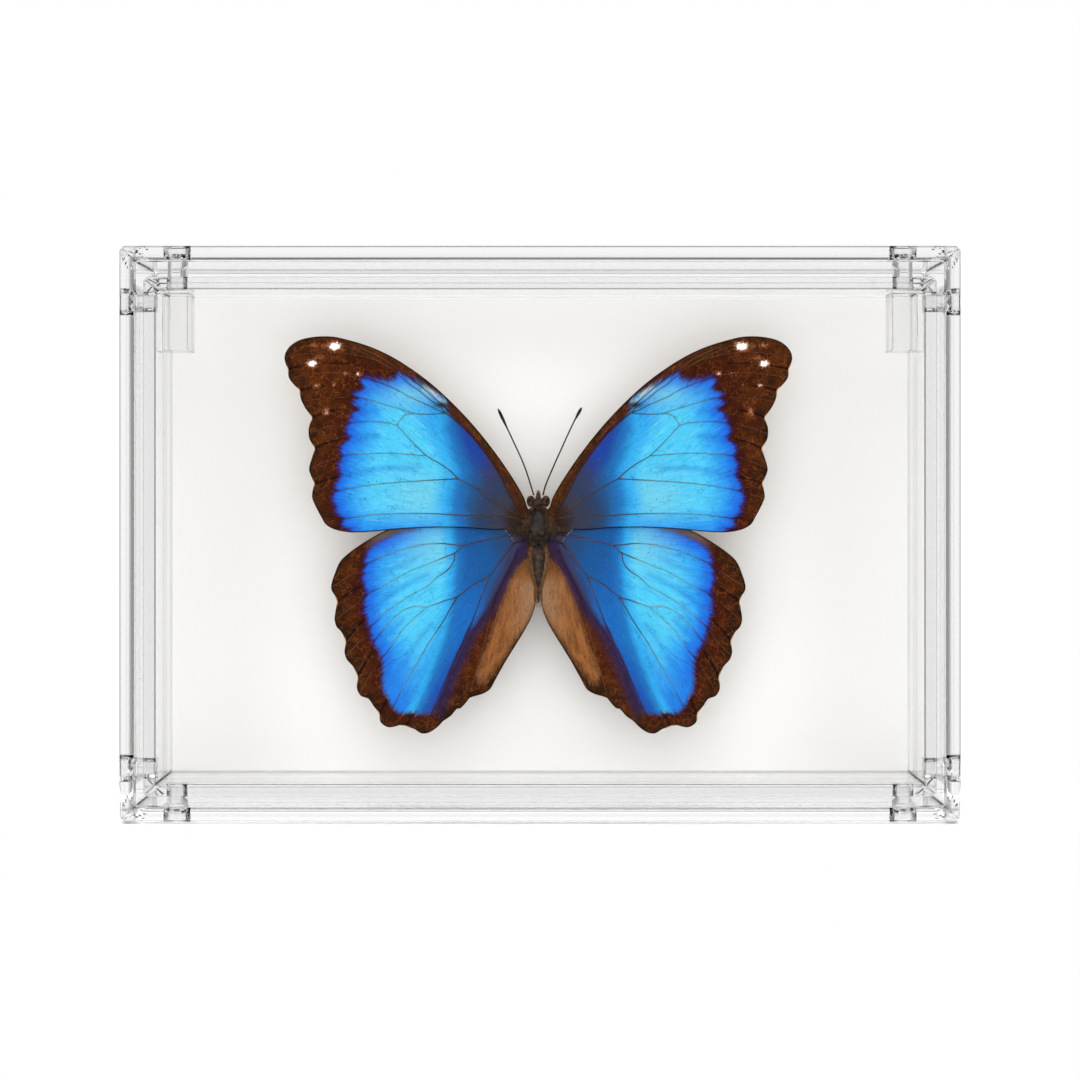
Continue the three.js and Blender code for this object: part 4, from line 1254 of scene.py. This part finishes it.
def tuft(add_hair, mirror, count, root, spread, way, way_spread, lengths, radius, droop, slot):
    """Hair that spreads around one root and one way."""
    roots = (np.array(root) + rng.normal(size=(count, 3)) * spread) * mirror
    ways = (np.array(way) + rng.normal(size=(count, 3)) * way_spread) * mirror
    add_hair(roots, ways, rng.uniform(*lengths, count), radius, droop, slot)


def flap(add_hair, mirror):
    """The dark flap of scales between forewing and hindwing, with small pale tufts at its edge."""
    share = rng.uniform(0, 1, FLAP_HAIRS)
    spread = rng.uniform(-1, 1, FLAP_HAIRS)
    height = -1.35 + 0.45 * share + spread * (1.55 * (1 - share) + 0.15)
    roots = np.column_stack([2.8 + 4.6 * share, -1.95 + 0.1 * share, height])
    ways = np.column_stack([np.ones(FLAP_HAIRS), 0.02 * np.ones(FLAP_HAIRS), -0.25 * spread])
    ways = ways + 0.12 * rng.normal(size=ways.shape)
    lengths = rng.uniform(0.6, 1.2, FLAP_HAIRS)
    add_hair(roots * mirror, ways * mirror, lengths, 0.05, (0, 0.02, 0), DARK_SLOT)
    for place in FLAP_TUFTS_MM:
        roots = np.array(place) + 0.1 * rng.normal(size=(FLAP_TUFT_HAIRS, 3))
        ways = np.array([0.5, -0.6, -0.4]) + 0.4 * rng.normal(size=roots.shape)
        lengths = rng.uniform(0.15, 0.35, FLAP_TUFT_HAIRS)
        add_hair(roots * mirror, ways * mirror, lengths, 0.04, (0, 0, 0), PALE_SLOT)


def shoulder_tuft(add_hair, mirror):
    """Brown hair from the eye down to the shoulder."""
    share = rng.uniform(0, 1, SHOULDER_HAIRS)
    roots = np.column_stack([1.1 + 1.4 * share, -1.4 + 0.3 * share, 4.6 - 1.7 * share])
    roots += 0.18 * rng.normal(size=roots.shape)
    ways = np.array([0.8, -0.1, -0.9]) + 0.25 * rng.normal(size=roots.shape)
    lengths = rng.uniform(0.4, 0.9, SHOULDER_HAIRS)
    add_hair(roots * mirror, ways * mirror, lengths, 0.03, (0, 0, 0), BROWN_SLOT)


def eye_rim(add_hair, mirror):
    """A few short pale hairs at the upper and lower inner rim of the eye."""
    height = np.repeat(EYE_RIM_HEIGHTS_MM, EYE_RIM_HAIRS)
    count = len(height)
    height = height + 0.08 * rng.normal(size=count)
    out = 0.85 + 0.05 * rng.normal(size=count)
    roots = np.column_stack([out, np.full(count, -1.3), height])
    ways = np.array([0.1, -1.0, 0.2]) + 0.4 * rng.normal(size=roots.shape)
    lengths = np.full(count, EYE_RIM_HAIR_MM)
    add_hair(roots * mirror, ways * mirror, lengths, 0.035, (0, 0, 0), PALE_SLOT)


def body_hair(add_hair):
    """Short nap on the body, fibres at the wing bases, dark flaps beside the thorax, and palps."""
    for number, (centre, radii, _) in enumerate(MIDDLE_FORMS):
        count = PLATE_HAIRS if number == MIDDLE_PLATE else MIDDLE_HAIRS
        coat(add_hair, centre, radii, count, 0.7, 0.024, (0, -0.1, -0.7))
    abdomen_nap(add_hair)
    for side in (-1, 1):
        mirror = np.array([side, 1, 1])
        for centre, radii, _ in SIDE_FORMS:
            coat(add_hair, centre * mirror, radii, SIDE_HAIRS, 0.9, 0.026, (side * 0.3, -0.2, -0.4))
        tuft(add_hair, mirror, *VEIN_ROOT_HAIR)
        tuft(add_hair, mirror, *VEIN_ROOT_FIBRES)
        flap(add_hair, mirror)
        shoulder_tuft(add_hair, mirror)
        tuft(add_hair, mirror, *PALP)
        eye_rim(add_hair, mirror)


def build_body():
    """The body in one piece: plates, eyes and abdomen with hair, all places from the thorax."""
    sheet = Sheet()
    tones = []

    def add(form, slot, tone=None):
        verts, faces = form
        sheet.add(from_thorax(verts), faces, slot)
        tones.append(np.zeros(len(verts)) if tone is None else tone)

    def add_hair(roots, ways, lengths, radius, droop, slot):
        form = hairs(roots, ways, lengths, radius, np.array(droop, float))
        add(form, slot, np.repeat(rng.uniform(0, 1, len(roots)), HAIR_POINTS))

    body_core(add)
    body_hair(add_hair)
    body = sheet.make("butterfly_body_haired", BODY_FINISHES, {"tone": np.concatenate(tones)})
    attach(body, "root")
    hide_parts("butterfly_body")


ANTENNA_PATHS = {
    "left": [(-1.1, -1.0, 7.3), (-3.4, -1.3, 14.4), (-6.4, -1.8, 21.1), (-9.8, -2.4, 28.3)],
    "right": [(1.1, -1.0, 7.3), (2.3, -1.2, 11.1), (7.8, -2.0, 23.4), (10.5, -2.4, 28.6)],
}
ANTENNA_STEPS = 60
ANTENNA_JOINTS = 46
ANTENNA_RADIUS_MM = 0.165
CLUB_SWELL_MM = 0.18
LEG_PATHS = {
    "middle": [(1.2, 2.8, 2.4), (3.2, 4.0, 3.6), (3.4, 5.2, -0.5), (2.6, 6.0, -5.5)],
    "hind": [(1.2, 3.0, -3.6), (3.7, 4.0, -3.9), (3.1, 5.0, -8.5), (2.0, 5.6, -13.0)],
}
LEG_STEPS = 16
# A leg's radius in millimetres at shares of its length: thigh, shin and foot
LEG_SHARES = [0, 0.1, 0.3, 0.36, 0.6, 0.66, 1]
LEG_RADII_MM = [0.3, 0.34, 0.3, 0.2, 0.2, 0.14, 0.09]
LIMB_SIDES = 10
LEG_BRISTLES = 120
# Steps at a leg's upper end that have no bristles
BARE_STEPS = 4


def build_antenna(side):
    """A shaft of many short joints that ends in a slender club."""
    line = smooth_line(ANTENNA_PATHS[side], ANTENNA_STEPS)
    share = np.linspace(0, 1, len(line))
    joints = 1 + 0.12 * np.abs(np.sin(share * ANTENNA_JOINTS * math.pi))
    radius = ANTENNA_RADIUS_MM + CLUB_SWELL_MM * soft_step(share, 0.76, 0.9)
    radius = radius * joints * np.interp(share, [0.96, 1], [1, 0.35])
    sheet = Sheet()
    sheet.add(*tube(from_thorax(line), radius * MM, LIMB_SIDES))
    antenna = sheet.make(f"antenna_{side}_jointed", [ANTENNA])
    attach(antenna, "root")
    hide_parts(f"antenna_{side}")


def build_leg(pair, side):
    """A folded leg with a knee, an ankle and short bristles."""
    sign = -1 if side == "left" else 1
    line = smooth_line([(sign * x, y, z) for x, y, z in LEG_PATHS[pair]], LEG_STEPS)
    share = np.linspace(0, 1, len(line))
    radius = np.interp(share, LEG_SHARES, LEG_RADII_MM)
    sheet = Sheet()
    sheet.add(*tube(from_thorax(line), radius * MM, LIMB_SIDES))
    picks = rng.integers(BARE_STEPS, len(line) - 2, LEG_BRISTLES)
    roots = from_thorax(line[picks])
    ways = rng.normal(size=(LEG_BRISTLES, 3)) + np.array([0, 0, -0.8])
    lengths = rng.uniform(0.3, 0.7, LEG_BRISTLES) * MM
    sheet.add(*hairs(roots, ways, lengths, 0.025 * MM, np.zeros(3)))
    leg = sheet.make(f"leg_{pair}_{side}_bristled", [CHITIN])
    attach(leg, "root")
    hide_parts(f"leg_{pair}_{side}")


# Box

WALL_SIDES = ("top", "right", "bottom", "left")
# A wall's finishes: its polished faces and its glued ends
FACE_SLOT, SEAM_SLOT = range(2)
PIN_END_EASE_MM = 0.2
HOLE_OVERRUN = 1.0 * MM


def wall_section(width, near, far, near_radius, far_radius):
    """A wall's section as (distance inwards, y) points, with its four edges rounded."""
    centres = [
        (near_radius, near + near_radius, near_radius, 180),
        (width - near_radius, near + near_radius, near_radius, 270),
        (width - far_radius, far - far_radius, far_radius, 0),
        (far_radius, far - far_radius, far_radius, 90),
    ]
    points = []
    for inwards, y, radius, start in centres:
        for k in range(ARC_STEPS + 1):
            angle = math.radians(start + 90 * k / ARC_STEPS)
            points.append((inwards + radius * math.cos(angle), y + radius * math.sin(angle)))
    return np.array(points)


def end_loop(section, length, corner, turn, gap):
    """One cross section of a wall's end, turned by an angle about the box's round outer corner."""
    rounds = section[:, 0] < corner
    arm = np.where(rounds, corner - section[:, 0], 0)
    along = length / 2 - np.where(rounds, corner, section[:, 0]) + arm * math.sin(turn) - gap
    inwards = np.where(rounds, corner - arm * math.cos(turn), section[:, 0])
    return np.column_stack([along, inwards, section[:, 1]])


def mitred_wall(section, length, corner, seam, groove):
    """A wall with 45 degree ends, as [along, inwards, y] points; a fine groove marks each joint."""
    turns = [math.radians(45 * k / ARC_STEPS) for k in range(ARC_STEPS - 1)]
    loops = [end_loop(section, length, corner, turn, seam + groove) for turn in turns]
    middle = (section.min(axis=0) + section.max(axis=0)) / 2
    half = (section.max(axis=0) - section.min(axis=0)) / 2
    narrow = middle + (section - middle) * (1 - groove / half)
    loops.append(end_loop(narrow, length, corner, math.radians(45), seam))
    loops = [loop * (-1, 1, 1) for loop in reversed(loops)] + loops
    count = len(section)
    faces = []
    for i in range(len(loops) - 1):
        for j in range(count):
            k = (j + 1) % count
            faces.append((i * count + j, i * count + k, (i + 1) * count + k, (i + 1) * count + j))
    last = (len(loops) - 1) * count
    caps = [tuple(range(count)), tuple(range(last, last + count))]
    return np.vstack(loops), faces, caps


def turned(profile, start, way, sides):
    """A turned form from (distance along, radius) points, with flat ends."""
    way = np.array(way, float)
    across = np.array((0.0, 1.0, 0.0))
    up = np.cross(way, across)
    angles = np.arange(sides) * 2 * math.pi / sides
    ring = np.cos(angles)[:, None] * across + np.sin(angles)[:, None] * up
    verts = np.vstack([start + way * along + ring * radius for along, radius in profile])
    faces = []
    for i in range(len(profile) - 1):
        for j in range(sides):
            k = (j + 1) % sides
            faces.append((i * sides + j, i * sides + k, (i + 1) * sides + k, (i + 1) * sides + j))
    last = (len(profile) - 1) * sides
    faces.append(tuple(range(sides)))
    faces.append(tuple(range(last, last + sides)))
    return verts, faces


def flat_piece(name, sheet, materials):
    """A piece with flat faces: doubled points are merged and empty faces dropped."""
    piece = sheet.make(name, materials)
    shape = bmesh.new()
    shape.from_mesh(piece.data)
    bmesh.ops.remove_doubles(shape, verts=shape.verts, dist=MERGE_REACH)
    bmesh.ops.dissolve_degenerate(shape, edges=shape.edges, dist=EMPTY_REACH)
    bmesh.ops.recalc_face_normals(shape, faces=shape.faces)
    shape.to_mesh(piece.data)
    shape.free()
    piece.data.polygons.foreach_set("use_smooth", [False] * len(piece.data.polygons))
    return piece


def cut_away(piece, cutter):
    """Takes the cutter's shape out of a piece made here, and removes the cutter."""
    modifier = piece.modifiers.new("hole", "BOOLEAN")
    modifier.operation = "DIFFERENCE"
    modifier.solver = "EXACT"
    modifier.object = cutter
    solid = piece.evaluated_get(bpy.context.evaluated_depsgraph_get())
    mesh = bpy.data.meshes.new_from_object(solid)
    piece.modifiers.clear()
    piece.data = mesh
    bpy.data.objects.remove(cutter)


def pin_wall(name):
    """The wall that a pin goes through, which its name says."""
    return name.split("_")[1]


# The axis along which pins run inwards from each wall, and their direction on it
PIN_WAYS = {"left": (0, 1), "right": (0, -1), "top": (2, -1), "bottom": (2, 1)}


def pin_line(name):
    """Where a pin's head starts, the way that it runs inwards, and its length."""
    low, high = (np.array(corner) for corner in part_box(name))
    axis, sign = PIN_WAYS[pin_wall(name)]
    way = np.zeros(3)
    way[axis] = sign
    start = (low + high) / 2
    start[axis] = low[axis] if sign > 0 else high[axis]
    return start, way, high[axis] - low[axis]


def pin_profile(length, play, overrun):
    """A pin's or its hole's (distance along, radius) points; a hole runs over at both ends."""
    head = PIN_HEAD_MM * MM + play
    shaft = PIN_SHAFT_MM * MM + play
    shoulder = PIN_HEAD_HEIGHT_MM * MM
    neck = shoulder + PIN_CONE_HEIGHT_MM * MM
    ease = 0.0 if overrun else PIN_END_EASE_MM * MM
    return [(-overrun, head - ease), (ease, head), (shoulder, head), (neck, shaft),
            (length - ease, shaft), (length + overrun, shaft - ease)]


def wall_corners(group):
    """The low and high corner around a group's four walls, and their thickness."""
    boxes = [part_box(f"{group}_wall_{side}") for side in WALL_SIDES]
    low = np.min([np.array(box[0]) for box in boxes], axis=0)
    high = np.max([np.array(box[1]) for box in boxes], axis=0)
    left_low, left_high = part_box(f"{group}_wall_left")
    return low, high, left_high[0] - left_low[0]


def drill(wall, pin):
    """A hole through a wall for one pin, with a little play around it."""
    start, way, length = pin_line(pin)
    profile = pin_profile(length, PIN_PLAY_MM * MM, HOLE_OVERRUN)
    cutter = Sheet()
    cutter.add(*turned(profile, start, way, PIN_SIDES))
    cut_away(wall, flat_piece("hole_cutter", cutter, []))


def build_walls(group, edges_mm, pins):
    """The four mitred walls of the outer cover or the inner frame, with their pin holes."""
    low, high, thickness = wall_corners(group)
    middle = (low + high) / 2
    width, _, height = high - low
    near_radius, far_radius = (radius * MM for radius in edges_mm)
    section = wall_section(thickness, low[1], high[1], near_radius, far_radius)
    for side in WALL_SIDES:
        length = height if side in ("left", "right") else width
        gaps = (SEAM_MM * MM, SEAM_GROOVE_MM * MM)
        verts, faces, caps = mitred_wall(section, length, CORNER_MM * MM, *gaps)
        along, inwards, y = verts.T
        x, z = {
            "top": (middle[0] + along, high[2] - inwards),
            "right": (high[0] - inwards, middle[2] - along),
            "bottom": (middle[0] - along, low[2] + inwards),
            "left": (low[0] + inwards, middle[2] + along),
        }[side]
        sheet = Sheet()
        sheet.add(np.column_stack([x, y, z]), faces, FACE_SLOT)
        sheet.faces.extend(caps)
        sheet.materials.extend([SEAM_SLOT] * len(caps))
        wall = flat_piece(f"{group}_wall_{side}_polished", sheet, [ACRYLIC, SEAM])
        for pin in pins:
            if pin_wall(pin) == side:
                drill(wall, pin)
        finish_clear_piece(wall, f"{group}_wall_{side}")


def build_pin(name):
    start, way, length = pin_line(name)
    sheet = Sheet()
    sheet.add(*turned(pin_profile(length, 0.0, 0.0), start, way, PIN_SIDES))
    finish_clear_piece(flat_piece(f"{name}_polished", sheet, [ACRYLIC]), name)


def finish_clear_piece(piece, node):
    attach(piece, "root")
    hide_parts(node)


def build_box():
    pins = [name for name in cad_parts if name.startswith("pin_")]
    build_walls("outer", OUTER_EDGES_MM, pins)
    build_walls("inner", INNER_EDGES_MM, pins)
    for name in pins:
        build_pin(name)
    for name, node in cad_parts.items():
        if name.endswith("_panel") or name.startswith("corner_block") or name == "mount_post":
            paint(node, ACRYLIC)
        if name.startswith("corner_block"):
            bevel = node.modifiers.new("polished edges", "BEVEL")
            bevel.width = BLOCK_EDGE_MM * MM
            bevel.segments = 3
    paint(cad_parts["backing_board"], BOARD)


def paint(piece, material):
    for slot in piece.material_slots:
        slot.material = material


# Studio

def build_floor():
    """A pale floor that ends a little in front of the box."""
    mesh = bpy.data.meshes.new("floor")
    left, right, near, far = FLOOR_REACH
    corners = [(left, near, 0), (right, near, 0), (right, far, 0), (left, far, 0)]
    mesh.from_pydata(corners, [], [(0, 1, 2, 3)])
    mesh.materials.append(floor_paint())
    floor = bpy.data.objects.new("floor", mesh)
    floor.location.z = -FLOOR_DROP
    bpy.context.scene.collection.objects.link(floor)


def room_in_mirrors(graph, parts):
    """White behind the box, grey at its sides, and a dark gap in front where the camera stands."""
    back = graph.step(parts["Y"], *BACK_TURN, SIDE_LEVEL, BACK_LEVEL)
    gap = graph.step(parts["Y"], *FRONT_TURN, FRONT_LEVEL / SIDE_LEVEL, 1.0)
    return graph.math("MULTIPLY", back, gap)


def room_through_sheets(graph, parts, path):
    """The bright room that shows straight through whole sheets, so that the box looks clear.

    A ray that has only crossed whole sheets has met an even number of faces when it leaves,
    and its Ray Depth, which counts one more, is odd. One mirror face on its way makes it even.
    """
    around = graph.step(parts["Z"], *CEILING_TURN, OPEN_LEVEL, CEILING_LEVEL)
    slant = graph.math("MULTIPLY", graph.math("ABSOLUTE", parts["X"]), graph.math("ABSOLUTE", parts["Z"]))
    clear = graph.math("MAXIMUM", graph.step(slant, *CLEAR_SLANT), graph.step(parts["Y"], *CLEAR_TURN))
    odd = graph.math("MODULO", path["Ray Depth"], 2.0)
    straight = graph.math("MULTIPLY", graph.step(odd, 0.4, 0.6), path["Is Transmission Ray"])
    return graph.math("MULTIPLY", graph.math("MULTIPLY", around, clear), straight)


def build_light():
    """A white room with a dark gap in front, and stronger soft light on matt surfaces."""
    world = bpy.data.worlds.new("studio")
    world.use_nodes = True
    bpy.context.scene.world = world
    graph = Graph(world.node_tree)
    background = world.node_tree.nodes["Background"]
    direction = graph.add("ShaderNodeTexCoord").outputs["Generated"]
    parts = graph.add("ShaderNodeSeparateXYZ", inputs={0: direction}).outputs
    path = graph.add("ShaderNodeLightPath").outputs
    seen = graph.math("MAXIMUM", room_in_mirrors(graph, parts), room_through_sheets(graph, parts, path))
    seen = graph.math("MAXIMUM", seen, path["Is Camera Ray"])
    frontal = graph.step(parts["Y"], *LIGHT_TURN, LIGHT_FRONT, LIGHT_SIDE)
    above = graph.step(parts["Z"], *ABOVE_TURN, 1.0, LIGHT_ABOVE)
    lighting = graph.math("MULTIPLY", frontal, above)
    level = graph.add("ShaderNodeMix", data_type="FLOAT", clamp_factor=True, inputs={
        0: path["Diffuse Depth"], 2: seen, 3: lighting})
    graph.feed(background.inputs["Strength"], level.outputs[0])
    background.inputs["Color"].default_value = (1.0, 1.0, 1.0, 1.0)


def build_camera():
    """A level camera in front of the box, with the picture shifted to the photo's horizon."""
    data = bpy.data.cameras.new("camera")
    data.lens = LENS_MM
    data.sensor_width = SENSOR_MM
    data.shift_y = -(PICTURE_SIZE / 2 - HORIZON_ROW) / PICTURE_SIZE
    camera = bpy.data.objects.new("camera", data)
    front_y = solid_bounds[0][1]
    camera.location = (0.0, front_y - CAMERA_DISTANCE, CAMERA_HEIGHT)
    camera.rotation_euler = (math.pi / 2, 0, 0)
    bpy.context.scene.collection.objects.link(camera)
    bpy.context.scene.camera = camera


def set_up_view():
    """Plain display colours, and enough light paths for a double wall of clear sheets."""
    scene = bpy.context.scene
    scene.view_settings.view_transform = "Standard"
    scene.cycles.use_denoising = True
    scene.cycles.max_bounces = CLEAR_BOUNCES
    scene.cycles.transmission_bounces = CLEAR_BOUNCES
    scene.cycles.glossy_bounces = MIRROR_BOUNCES
    scene.cycles.blur_glossy = 0.0


set_up_view()
build_camera()
build_light()
build_floor()
build_box()
for wing_side, wing_sign in (("left", -1), ("right", 1)):
    build_wing(f"forewing_{wing_side}", FOREWING, wing_sign)
    build_wing(f"hindwing_{wing_side}", HINDWING, wing_sign)
    build_antenna(wing_side)
    build_leg("middle", wing_side)
    build_leg("hind", wing_side)
build_body()
